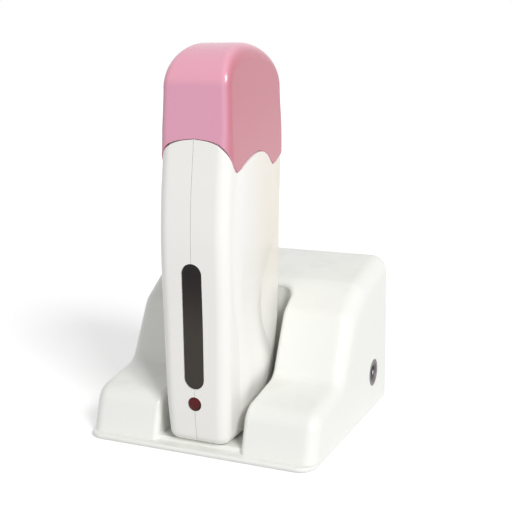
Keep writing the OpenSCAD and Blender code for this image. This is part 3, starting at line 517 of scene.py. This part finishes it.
def cap_wall_rows(us, g, rim_inset):
    """Rings from the lower edge up to the crown; the first ones round the edge off."""
    edge = edge_at(us) + CAP_GAP
    turn = np.linspace(0, np.pi / 2, 5)[:-1]
    lift = np.concatenate([CAP_RIM * (1 - np.sin(np.pi / 2 - turn)), np.full(CAP_ROWS, CAP_RIM)])
    inset = np.concatenate([CAP_RIM * (1 - np.cos(np.pi / 2 - turn)), np.zeros(CAP_ROWS)])
    t = np.concatenate([np.zeros(len(turn)), np.linspace(0, 1, CAP_ROWS)])[:, None]
    z = mix(edge + lift[:, None], CROWN_Z, t)
    inset = g + inset[:, None] * rim_inset
    half = section(us, z, inset, cap_half(z) - inset, cap_round(z))
    return np.concatenate([half, half[:, ::-1] * np.array([-1, 1, 1])], 1)


def cap_mesh():
    """Outer and inner skins of the cap: rings below, an arch of rows above, flat cheeks at the sides."""
    nu, nf = len(US), int((US <= 2).sum())
    ring = 2 * nu
    arch = crown()
    points, faces, first, rims = [], [], 0, []
    for g, rim_inset in ((0.0, 1.0), (CAP_WALL, -1.0)):
        wall = cap_wall_rows(US, g, rim_inset)
        half = arch_rows(arch, US[:nf], g)
        rows = np.concatenate([half[:, ::-1] * np.array([-1, 1, 1]), half], 1)
        points += [wall.reshape(-1, 3), rows.reshape(-1, 3)]
        closed = wrapped(numbered(first, len(wall), ring))
        faces.append(grid_faces(closed))
        top = closed[-1, :-1]
        a = numbered(top[-1] + 1, len(arch), 2 * nf)
        front = np.concatenate([top[ring - nf:], top[:nf]])
        rear = np.concatenate([top[nu:nu + nf][::-1], top[nu - nf:nu][::-1]])
        over = np.concatenate([front[None], a, rear[None]])
        faces.append(grid_faces(over))
        faces.append([tuple(np.concatenate([top[nf - 1:nu - nf + 1], a[::-1, -1]])),
                      tuple(np.concatenate([top[nu + nf - 1:ring - nf + 1], a[:, 0]]))])
        rims.append(closed[0])
        first = a[-1, -1] + 1
    faces.append(strip_faces(*rims))
    return raw_mesh("cap", np.concatenate(points), faces)


# ---- Small pieces ----

def turned(name, profile, centre, axis, n=64):
    """A profile of (radius, place along the axis) turned round the axis through centre."""
    r, h = np.array(profile, float).T
    w = 2 * np.pi * np.arange(n) / n
    a, b = r[:, None] * np.cos(w), r[:, None] * np.sin(w)
    p = np.insert(np.stack([a, b], -1), axis, np.broadcast_to(h[:, None], a.shape), axis=-1)
    return closed_rings(name, p + np.asarray(centre, float))


def led_mesh():
    """Indicator lens: a short rod with a low elliptic dome."""
    r, y0 = LED_D / 2, float(front_at(LED_Z)) + 0.4
    turn = np.linspace(0, np.pi / 2 - 0.01, 14)
    profile = [(r - 0.3, y0 + 4.4), (r, y0 + 4.1)]
    profile += [(r * math.cos(k), y0 - r / 4 * math.sin(k)) for k in turn]
    return turned("led", profile, (0, 0, LED_Z), 1)


def inlet_mesh():
    """Power inlet: a barrel with a flange inside the wall, a rounded rim and a bore with a chamfer."""
    r, x, b = INLET_D / 2, BASE_W / 2, INLET_BORE / 2
    turn = np.linspace(0, np.pi / 2, 6)
    profile = [(0.02, x - 16.2), (r - 1.5, x - 16.2), (r - 1, x - 15.7), (r - 1, x - 3.8), (r + 0.5, x - 3.8),
               (r + 0.5, x - 2.2), (r - 1, x - 2.2), (r - 1, x - 1), (r, x - 1)]
    profile += [(r - 0.6 + 0.6 * math.cos(k), x - 0.6 + 0.6 * math.sin(k)) for k in turn]
    profile += [(b + 1.5, x), (b + 1.3, x - 0.5), (b + 0.7, x - 0.5), (b + 0.4, x - 0.2), (b, x - 0.7),
                (b, x - 11.2), (0.02, x - 11.2)]
    return turned("inlet", profile, (0, INLET_Y, INLET_Z), 0)


def stacked(name, outline, levels):
    """A closed outline carried through levels of (height, inset), moved in along its own normals."""
    outline = np.asarray(outline, float)
    t = np.roll(outline, -1, 0) - np.roll(outline, 1, 0)
    n = unit(np.stack([t[:, 1], -t[:, 0]], -1))
    rows = np.array([np.column_stack([outline - inset * n, np.full(len(outline), z)]) for z, inset in levels])
    return closed_rings(name, rows)


def plate_outline():
    """Plan of the bottom plate: a rectangle whose corners are arcs, wider ones in front."""
    arc = np.linspace(0, np.pi / 2, 13)
    w, y0, y1 = BASE_W / 2, -BASE_D / 2, REAR_Y
    corners = [(w - BASE_EDGE, y1 - BASE_EDGE, BASE_EDGE, 0), (-w + BASE_EDGE, y1 - BASE_EDGE, BASE_EDGE, 1),
               (-w + PLATE_CORNER, y0 + PLATE_CORNER, PLATE_CORNER, 2),
               (w - PLATE_CORNER, y0 + PLATE_CORNER, PLATE_CORNER, 3)]
    turns = [(x, y, r, arc + q * np.pi / 2) for x, y, r, q in corners]
    return np.concatenate([np.column_stack([x + r * np.cos(w), y + r * np.sin(w)]) for x, y, r, w in turns])


def lens_mesh(w, h, depth):
    """Window pane: rows that follow the front's line, sunk by depth, with a rounded rim and a flat back."""
    turn = np.linspace(0, np.pi / 2, 6)
    out = lobed((0, WINDOW_MID), w / 2, (h - w) / 2, 96)
    centre = out.copy()
    centre[:, 0] = 0
    centre[:, 1] = np.clip(out[:, 1], WINDOW_MID - (h - w) / 2, WINDOW_MID + (h - w) / 2)

    def ring(shrink, sink):
        """The outline drawn in towards its middle line, set at the front's depth."""
        p = centre + (out - centre) * (1 - shrink / (w / 2))
        return np.column_stack([p[:, 0], front_at(p[:, 1]) + depth + sink, p[:, 1]])

    rings = [ring(0, 2.6)]
    rings += [ring(PANE_RIM * (1 - math.cos(a)), PANE_RIM * (1 - math.sin(a))) for a in turn]
    rings += [ring(t, -0.25 * (t / (w / 2)) ** 0.5) for t in (1.2, 2.2, 3.4, 4.6, w / 2 - 0.05)]
    return closed_rings("lens", rings)


# ---- Shader groups ----

def tint(r, g, b):
    """A screen colour of 0-255 as the light value that a shader takes."""
    c = np.array([r, g, b]) / 255
    return tuple(np.where(c <= 0.04045, c / 12.92, ((c + 0.055) / 1.055) ** 2.4)) + (1.0,)


def toned(colour, factor):
    """A colour made darker or lighter, at most 1 in each channel."""
    return tuple(min(1.0, c * factor) for c in colour[:3]) + (1.0,)


class Net:
    """Short calls for a node tree."""

    def __init__(self, tree):
        self.tree = tree

    def put(self, kind, settings=None, **inputs):
        """Adds a node, sets its settings, and gives each input a value or a link."""
        node = self.tree.nodes.new("ShaderNode" + kind)
        for key, value in (settings or {}).items():
            setattr(node, key, value)
        for key, value in inputs.items():
            self.feed(node, key.replace("_", " "), value)
        return node

    def feed(self, node, key, value):
        """Gives one input of a node a value or a link."""
        socket = node.inputs[int(key)] if key.isdigit() else node.inputs[key]
        if isinstance(value, bpy.types.NodeSocket):
            self.tree.links.new(value, socket)
        else:
            socket.default_value = value

    def math(self, operation, *values, clamp=False):
        """A Math node over values or links."""
        node = self.tree.nodes.new("ShaderNodeMath")
        node.operation, node.use_clamp = operation, clamp
        for i, value in enumerate(values):
            self.feed(node, str(i), value)
        return node.outputs[0]

    def noise(self, vector, scale, detail=2.0, rough=0.5, distortion=0.0):
        """Value of a noise texture."""
        node = self.put("TexNoise", Vector=vector, Scale=scale, Detail=detail, Roughness=rough,
                        Distortion=distortion)
        return node.outputs["Fac"]

    def ramp(self, value, low, high, a=0.0, b=1.0):
        """Smooth step of a value from low to high, giving a to b."""
        node = self.put("MapRange", {"interpolation_type": "SMOOTHSTEP"}, Value=value)
        for key, number in (("From Min", low), ("From Max", high), ("To Min", a), ("To Max", b)):
            self.feed(node, key, number)
        return node.outputs[0]

    def blend(self, factor, a, b):
        """Colour mix."""
        node = self.put("Mix", {"data_type": "RGBA", "blend_type": "MIX"})
        self.feed(node, "0", factor)
        self.feed(node, "6", a)
        self.feed(node, "7", b)
        return node.outputs[2]

    def place(self):
        """Place on the piece, in metres."""
        return self.put("TexCoord").outputs["Object"]

    def normal(self):
        """X, Y and Z of the surface's normal."""
        return self.put("SeparateXYZ", Vector=self.put("NewGeometry").outputs["Normal"]).outputs


def group(name, inputs, outputs, build):
    """A shader group with named float inputs and outputs; build(net, inputs) returns the output links."""
    tree = bpy.data.node_groups.new(name, "ShaderNodeTree")
    for key, value in inputs.items():
        socket = tree.interface.new_socket(key, in_out="INPUT", socket_type="NodeSocketFloat")
        socket.default_value = value
    for key in outputs:
        tree.interface.new_socket(key, in_out="OUTPUT", socket_type="NodeSocketFloat")
    net = Net(tree)
    start = tree.nodes.new("NodeGroupInput")
    end = tree.nodes.new("NodeGroupOutput")
    for key, link in zip(outputs, build(net, start.outputs)):
        tree.links.new(link, end.inputs[key])
    return tree


def grain_group():
    """Fine spark-eroded grain plus the slow waves that a mould leaves."""
    def build(net, given):
        at = net.place()
        fine = net.noise(at, given["Scale"], 3.0, 0.6)
        slow = net.noise(at, 38.0, 1.0, 0.4)
        height = net.math("ADD", net.math("MULTIPLY", fine, given["Fine"]),
                          net.math("MULTIPLY", slow, given["Wave"]))
        return height, net.ramp(fine, 0.35, 0.68)
    return group("Moulded grain", {"Scale": 1500.0, "Fine": 1.0, "Wave": 3.0}, ["Height", "Speck"], build)


def touch_group():
    """Patches that hands and cloths have polished or dulled."""
    def build(net, given):
        at = net.place()
        broad = net.noise(at, given["Scale"], 3.0, 0.55, 0.6)
        smear = net.put("Mapping", Vector=at, Scale=(1.0, 1.0, 0.22)).outputs[0]
        streak = net.noise(smear, net.math("MULTIPLY", given["Scale"], 6.0), 4.0, 0.62, 0.3)
        marks = net.math("ADD", net.ramp(broad, 0.36, 0.66, 0.0, 0.65),
                         net.ramp(streak, 0.5, 0.74, 0.0, 0.35))
        return (marks,)
    return group("Handling marks", {"Scale": 22.0}, ["Marks"], build)


def edge_group():
    """Outer edges that rub smooth and take a painted sheen, and inner corners that hold dust and take painted
    shade, from how the surface is bent.
    """
    def build(net, given):
        bent = net.put("NewGeometry").outputs["Pointiness"]
        rough = net.noise(net.place(), 260.0, 2.0)
        edge = net.ramp(bent, given["Edge"], net.math("ADD", given["Edge"], 0.12))
        # Outer edges: rubbed smoother, and lightened as a painted sheen.
        worn_sheen = net.math("MULTIPLY", edge, net.ramp(rough, 0.3, 0.62, 0.25, 1.0))
        # Inner corners: darkened as dust and as painted shade.
        groove = net.ramp(bent, net.math("SUBTRACT", 1.0, given["Edge"]), 0.40)
        return worn_sheen, groove
    return group("Edges and corners", {"Edge": 0.53}, ["Worn", "Corner_shade_dust"], build)


def dust_group():
    """Dust on faces that look up, thicker where it has drifted."""
    def build(net, given):
        drift = net.noise(net.place(), given["Scale"], 4.0, 0.62)
        return (net.math("MULTIPLY", net.ramp(net.normal()["Z"], 0.55, 1.0), net.ramp(drift, 0.42, 0.72)),)
    return group("Settled dust", {"Scale": 60.0}, ["Dust"], build)


def brush_group():
    """Fine lines drawn along one direction of a metal part, with a few deeper scratches."""
    def build(net, given):
        stretch = net.put("CombineXYZ", X=given["X"], Y=given["Y"], Z=given["Z"]).outputs[0]
        at = net.put("VectorMath", {"operation": "MULTIPLY"}).outputs[0]
        node = at.node
        net.feed(node, "0", net.place())
        net.feed(node, "1", stretch)
        lines = net.noise(at, 1.0, 3.0, 0.7)
        deep = net.ramp(net.noise(at, 0.35, 1.0), 0.66, 0.74)
        return net.math("SUBTRACT", lines, net.math("MULTIPLY", deep, 0.6)), lines
    return group("Brushed lines", {"X": 300.0, "Y": 300.0, "Z": 6000.0}, ["Height", "Lines"], build)


GRAIN, TOUCH, EDGE, DUST, BRUSH = grain_group(), touch_group(), edge_group(), dust_group(), brush_group()


def use(net, tree, **inputs):
    """Places a shader group with its own values."""
    node = net.tree.nodes.new("ShaderNodeGroup")
    node.node_tree = tree
    for key, value in inputs.items():
        net.feed(node, key, value)
    return node.outputs


def new_material(name):
    """A node material with its Principled shader, as (material, net, shader)."""
    material = bpy.data.materials.new(name)
    material.use_nodes = True
    net = Net(material.node_tree)
    return material, net, material.node_tree.nodes["Principled BSDF"]


MARKS = 0.04


def moulded(name, colour, roughness, grain=1500.0, depth=0.25, wave=3.0, tone=0.03, ior=1.5, coat=0.0,
            edge_sheen_light=0.015, dust=0.10, shade=(), subsurface=0.0):
    """Moulded plastic: grain in the bump, tone and roughness shifted by marks, edges and dust; the edges also
    get a painted sheen and the inner corners painted shade.

    shade lists the makers of masks for painted shade and painted reflections, each with the colour that the
    plastic turns to where its mask is 1.
    """
    material, net, shader = new_material(name)
    g = use(net, GRAIN, Scale=grain, Fine=1.0, Wave=wave)
    touched = use(net, TOUCH, Scale=20.0)["Marks"]
    edges = use(net, EDGE)
    dusty = use(net, DUST)["Dust"]
    base = tint(*colour)
    darker = toned(base, 1 - tone)
    lighter = tuple(min(1.0, c + edge_sheen_light) for c in base[:3]) + (1.0,)
    c = net.blend(net.math("MULTIPLY", g["Speck"], 0.6), base, darker)
    c = net.blend(net.math("MULTIPLY", touched, 0.3), c, darker)
    for mask, other in shade:
        c = net.blend(mask(net), c, tint(*other))
    # Edges lighter: rubbed wear and a painted sheen.
    c = net.blend(net.math("MULTIPLY", edges["Worn"], 0.5), c, lighter)
    # Inner corners darker: dust and painted shade.
    c = net.blend(net.math("MULTIPLY", edges["Corner_shade_dust"], 0.35), c, toned(base, 0.86))
    c = net.blend(net.math("MULTIPLY", dusty, dust), c, tint(196, 192, 184))
    net.feed(shader, "Base Color", c)
    r = net.math("ADD", roughness - MARKS / 2, net.math("MULTIPLY", touched, MARKS))
    r = net.math("ADD", r, net.math("MULTIPLY", dusty, 0.15))
    r = net.math("SUBTRACT", r, net.math("MULTIPLY", edges["Worn"], 0.03), clamp=True)
    net.feed(shader, "Roughness", r)
    bump = net.put("Bump", Strength=depth, Distance=0.00006, Height=g["Height"])
    net.feed(shader, "Normal", bump.outputs[0])
    shader.inputs["IOR"].default_value = ior
    shader.inputs["Coat Weight"].default_value = coat
    shader.inputs["Coat Roughness"].default_value = 0.1
    shader.inputs["Subsurface Weight"].default_value = subsurface
    return material


def metal(name, colour, roughness, lines=(300.0, 300.0, 6000.0), tarnish=0.12):
    """Bare metal: drawn lines in bump and roughness, with a duller film in patches."""
    material, net, shader = new_material(name)
    drawn = use(net, BRUSH, X=lines[0], Y=lines[1], Z=lines[2])
    film = use(net, TOUCH, Scale=40.0)["Marks"]
    edges = use(net, EDGE)
    base = tint(*colour)
    c = net.blend(net.math("MULTIPLY", film, tarnish), base, toned(base, 0.62))
    # Edges lighter: rubbed bright, with a painted sheen.
    c = net.blend(net.math("MULTIPLY", edges["Worn"], 0.4), c, toned(base, 1.15))
    net.feed(shader, "Base Color", c)
    spread = net.math("MULTIPLY", net.math("ADD", drawn["Lines"], film), 0.14)
    net.feed(shader, "Roughness", net.math("ADD", roughness, spread, clamp=True))
    bump = net.put("Bump", Strength=0.2, Distance=0.00004, Height=drawn["Height"])
    net.feed(shader, "Normal", bump.outputs[0])
    shader.inputs["Metallic"].default_value = 1.0
    return material


# ---- Finishes ----

def pane_top(net):
    """Mask of the pane's upper end, which painted shade makes darker towards the top."""
    z = net.put("SeparateXYZ", Vector=net.place()).outputs["Z"]
    return net.ramp(z, (WINDOW_MID - 8) * MM, (WINDOW_MID + WINDOW_H / 2 - 4) * MM)


def upward(net):
    """Mask of the faces that lean back towards the sky, where the cap gets a painted reflection of the bright
    sky in a lighter pink.
    """
    return net.ramp(net.normal()["Z"], 0.06, 0.3)


def cheeks(net):
    """Mask of the faces that look to the left or to the right, where painted shade goes."""
    return net.ramp(net.math("ABSOLUTE", net.normal()["X"]), 0.3, 0.95)


def warmed(net):
    """Mask of the upper rear part of the side panels, which painted shade makes darker and warmer in tone."""
    at = net.put("SeparateXYZ", Vector=net.place()).outputs
    part = net.math("MULTIPLY", net.ramp(at["Z"], 0.05, 0.12), net.ramp(at["Y"], -0.052, -0.012))
    return net.math("MULTIPLY", cheeks(net), part)


def lower_right(net):
    """Mask of the faces that look down or to the right, where painted shade makes the lens a deeper red."""
    normal = net.normal()
    return net.ramp(net.math("SUBTRACT", normal["X"], normal["Z"]), 0.0, 0.6)


shell_white = moulded("Base white", (240, 241, 236), 0.36, grain=1700.0, depth=0.2, wave=0.5, coat=0.15)
# Body white: painted shade makes the upper rear of the side panels darker and warmer.
body_white = moulded("Body white", (241, 240, 236), 0.30, grain=2000.0, depth=0.12, wave=0.5, coat=0.25,
                     shade=[(warmed, (233, 226, 213))])
# Cap pink: a painted reflection makes the faces that look up a lighter pink, and painted shade makes the side
# faces a deeper rose.
cap_pink = moulded("Cap pink", (223, 157, 182), 0.26, grain=2400.0, depth=0.08, wave=0.6, coat=0.2,
                   shade=[(upward, (232, 162, 183)), (cheeks, (196, 117, 131))])
# Tinted pane: painted shade makes it darker towards its upper end.
pane_dark = moulded("Tinted pane", (60, 56, 50), 0.16, grain=3000.0, depth=0.04, wave=0.4, tone=0.1, ior=1.3,
                    edge_sheen_light=0.005, dust=0.03, shade=[(pane_top, (24, 18, 16))])
# Red lens: painted shade makes the faces that look down or to the right a deeper red.
lens_red = moulded("Red lens", (90, 6, 12), 0.12, grain=3000.0, depth=0.04, wave=0.3, tone=0.1, ior=1.33,
                   edge_sheen_light=0.01, dust=0.03, shade=[(lower_right, (52, 5, 9))])
black_moulding = moulded("Black moulding", (34, 34, 36), 0.34, grain=1400.0, depth=0.35, tone=0.15,
                         edge_sheen_light=0.03, dust=0.15)
inlet_grey = moulded("Inlet grey", (116, 107, 111), 0.40, grain=1400.0, depth=0.35, tone=0.15,
                     edge_sheen_light=0.03, dust=0.15)
rubber = moulded("Foot rubber", (38, 37, 37), 0.75, grain=900.0, depth=0.8, wave=1.0, tone=0.25,
                 edge_sheen_light=0.02, dust=0.3)
steel = metal("Plated steel", (196, 197, 200), 0.20)
brass = metal("Contact brass", (214, 184, 120), 0.18, lines=(2500.0, 2500.0, 300.0), tarnish=0.25)
aluminium = metal("Drawn aluminium", (212, 213, 214), 0.32, lines=(3000.0, 3000.0, 120.0))
sheath = moulded("Lead sheath", (150, 36, 34), 0.48, grain=1200.0, depth=0.3, tone=0.12, edge_sheen_light=0.02)
board = moulded("Board lacquer", (36, 98, 58), 0.30, grain=900.0, depth=0.3, tone=0.3, coat=0.3,
                edge_sheen_light=0.03)
component = moulded("Component body", (52, 52, 54), 0.52, grain=1400.0, depth=0.4, tone=0.15)
ceramic = moulded("Fired ceramic", (216, 212, 202), 0.62, grain=800.0, depth=0.5, wave=1.0, tone=0.08)
bottle = moulded("Bottle plastic", (236, 233, 222), 0.38, grain=1500.0, depth=0.2, tone=0.04,
                 subsurface=0.15)
wax = moulded("Set wax", (206, 150, 74), 0.42, grain=500.0, depth=0.5, wave=6.0, tone=0.12, subsurface=0.2)
roller_white = moulded("Roller plastic", (236, 235, 228), 0.26, grain=2200.0, depth=0.12, coat=0.2)

FINISHES = {
    "shell_plastic": shell_white, "body_plastic": body_white, "cap_plastic": cap_pink,
    "smoked_window": pane_dark, "red_lens": lens_red, "black_plastic": black_moulding, "foot_rubber": rubber,
    "steel": steel, "contact_brass": brass, "lead_sheath": sheath, "board_green": board,
    "board_components": component, "chamber_aluminium": aluminium, "heater_ceramic": ceramic,
    "bottle_plastic": bottle, "wax": wax, "roller_plastic": roller_white,
}
slots = {part["node"]: part["material_slot"] for part in frame["record"]["subparts"]}
for name, obj in nodes.items():
    obj.data.materials.clear()
    obj.data.materials.append(FINISHES[slots[name]])
    obj.data.shade_smooth()
    obj.data.set_sharp_from_angle(angle=math.radians(SOLID_SHARP_DEG))


# ---- Pieces ----

inlet_hole = prism("hole", circle((INLET_Y, INLET_Z), INLET_D / 2, 96), 0, BASE_W / 2 - 8, BASE_W / 2 + 5)
dock_hole = prism("hole", lobed((0, DOCK_Y), POST_D / 2 + 0.1, CONTACT_PITCH / 2), 2,
                  SHELL_Z - 2, FLOOR_Z + 1)
bosses = [prism("boss", circle(at, BOSS_R), 2, SHELL_Z, BLOCK_H - 6) for at in BASE_SCREWS]
boss_holes = [prism("hole", circle(at, BOSS_HOLE_R), 2, SHELL_Z - 1, SHELL_Z + 12) for at in BASE_SCREWS]
finish("base_shell_skin", base_shell_mesh(), "base", shell_white, ["base_shell"],
       add=bosses, cut=[inlet_hole, dock_hole] + boss_holes)

plate_rim = [(PLATE_Z, 0.5), (PLATE_Z + 0.15, 0.15), (PLATE_Z + 0.5, 0)]
turn = np.linspace(0, np.pi / 2, 8)
plate_rim += [(SHELL_Z - 0.9 + 0.9 * math.sin(k), 0.9 * (1 - math.cos(k))) for k in turn]
plate = stacked("plate", plate_outline(), plate_rim)
screw_ways = [prism("hole", circle(at, SCREW_WAY_R), 2, 0, 4) for at in BASE_SCREWS]
screw_seats = [prism("hole", circle(at, SCREW_SEAT_R), 2, 0, PLATE_Z + 1.2) for at in BASE_SCREWS]
groove_front = DOCK_Y - CONTACT_PITCH
groove = prism("groove", [(-GROOVE_HALF, groove_front), (GROOVE_HALF, groove_front),
                          (GROOVE_HALF, GROOVE_END), (-GROOVE_HALF, GROOVE_END)], 2, PLATE_Z + 0.9, 4)
finish("base_plate_skin", plate, "base", shell_white, ["base_plate"],
       cut=screw_ways + screw_seats + [groove])

window_hole = prism("hole", capsule(WINDOW_W, WINDOW_H, 96), 1, FRONT_OUT - 5, FRONT_OUT + 12)
led_hole = prism("hole", circle((0, LED_Z), LED_D / 2 + 0.1, 64), 1, FRONT_OUT - 5, FRONT_OUT + 10)
dock_recess = prism("hole", lobed((0, DOCK_Y), RECESS_D / 2, CONTACT_PITCH / 2), 2, FOOT_Z - 1, RECESS_Z)
right = housing_mesh()
left = flipped_x(right)


def post(side, y, z):
    """Screw post from the seam to inside the side wall; side is -1 or 1."""
    ends = sorted((side * SEAM_W / 2, side * (float(side_at(z)) - 1.5)))
    return prism("post", circle((y, z), POST_R), 0, *ends)


posts = {s: [post(s, y, z) for y, z in JOINTS] for s in (-1, 1)}
pilot = [prism("hole", circle((y, z), PILOT_R), 0, -1, 10) for y, z in JOINTS]
ways = [prism("hole", circle((y, z), WAY_R), 0, -HALF_W, 1) for y, z in JOINTS]
heads = [prism("hole", circle((y, z), HEAD_R, HEAD_SIDES), 0, -HALF_W - 2, 5 - SIDE_W) for y, z in JOINTS]
finish("housing_right_skin", right, "handset", body_white, ["housing_right"],
       add=posts[1], cut=[window_hole, led_hole, dock_recess] + pilot)
finish("housing_left_skin", left, "handset", body_white, ["housing_left"],
       add=posts[-1], cut=[window_hole, led_hole, dock_recess] + ways + heads)

finish("indicator_lens", led_mesh(), "handset", lens_red, ["led_lens"])
finish("inlet_barrel", inlet_mesh(), "base", inlet_grey, ["power_inlet"])
finish("cap_skin", cap_mesh(), "cap_body", cap_pink, ["cap"])
pane = lens_mesh(WINDOW_W - 0.2, WINDOW_H - 0.2, PANE_SUNK)
finish("window_pane", pane, "handset", pane_dark, ["window_lens"])


# ---- Floor, light and camera ----

AMBIENT = 0.44
CAMERA_PLACE, CAMERA_DOWN_DEG, CAMERA_TURN_DEG = (0.2215, -0.4965, 0.2013), 11.246, 23.448


def seen_rays(net):
    """1 for camera, reflected and transmitted rays, 0 for the light that fills the scene."""
    rays = net.put("LightPath").outputs
    straight = net.math("ADD", rays["Is Camera Ray"], rays["Is Glossy Ray"])
    return net.math("ADD", straight, rays["Is Transmission Ray"], clamp=True)


def floor_material():
    """Pale floor that keeps the shadow and is white to the camera and in reflections."""
    material, net, shader = new_material("Pale floor")
    shader.inputs["Base Color"].default_value = (0.82, 0.82, 0.82, 1)
    shader.inputs["Roughness"].default_value = 0.9
    shader.inputs["Specular IOR Level"].default_value = 0.0
    shader.inputs["Emission Color"].default_value = (1, 1, 1, 1)
    away = net.put("VectorMath", {"operation": "LENGTH"}).outputs["Value"]
    net.feed(away.node, "0", net.place())
    glow = net.math("MULTIPLY", seen_rays(net), net.ramp(away, 0.1, 1.6, 0.42, 0.8))
    net.feed(shader, "Emission Strength", glow)
    return material


def floor_mesh():
    """A square in the plane z = 0."""
    mesh = bpy.data.meshes.new("floor")
    r = 6.0
    mesh.from_pydata([(-r, -r, 0), (r, -r, 0), (r, r, 0), (-r, r, 0)], [], [(0, 1, 2, 3)])
    return mesh


floor = bpy.data.objects.new("floor", floor_mesh())
bpy.context.scene.collection.objects.link(floor)
floor.data.materials.append(floor_material())

world = bpy.data.worlds.new("studio")
bpy.context.scene.world = world
world.use_nodes = True
sky = Net(world.node_tree)
background = world.node_tree.nodes["Background"]
background.inputs["Color"].default_value = (1, 1, 1, 1)
sky.feed(background, "Strength", sky.math("ADD", AMBIENT, sky.math("MULTIPLY", seen_rays(sky), 1 - AMBIENT)))


def lamp(name, place, target, width, height, power_w):
    """A soft rectangular lamp at a place, facing a target."""
    data = bpy.data.lights.new(name, "AREA")
    data.shape, data.size, data.size_y, data.energy = "RECTANGLE", width, height, power_w
    obj = bpy.data.objects.new(name, data)
    bpy.context.scene.collection.objects.link(obj)
    obj.location = place
    obj.rotation_euler = (Vector(target) - Vector(place)).to_track_quat("-Z", "Y").to_euler()
    return obj


lamp("key", (2.3, -1.94, 2.2), (0, 0, 0.08), 1.0, 1.0, 87)

camera = bpy.data.cameras.new("camera")
camera.lens, camera.sensor_width = 69.38, 36.0
camera.clip_start, camera.clip_end = 0.01, 50
view = bpy.data.objects.new("camera", camera)
bpy.context.scene.collection.objects.link(view)
view.location = CAMERA_PLACE
view.rotation_euler = (math.radians(90 - CAMERA_DOWN_DEG), 0, math.radians(CAMERA_TURN_DEG))
bpy.context.scene.camera = view
bpy.context.scene.view_settings.view_transform = "Standard"
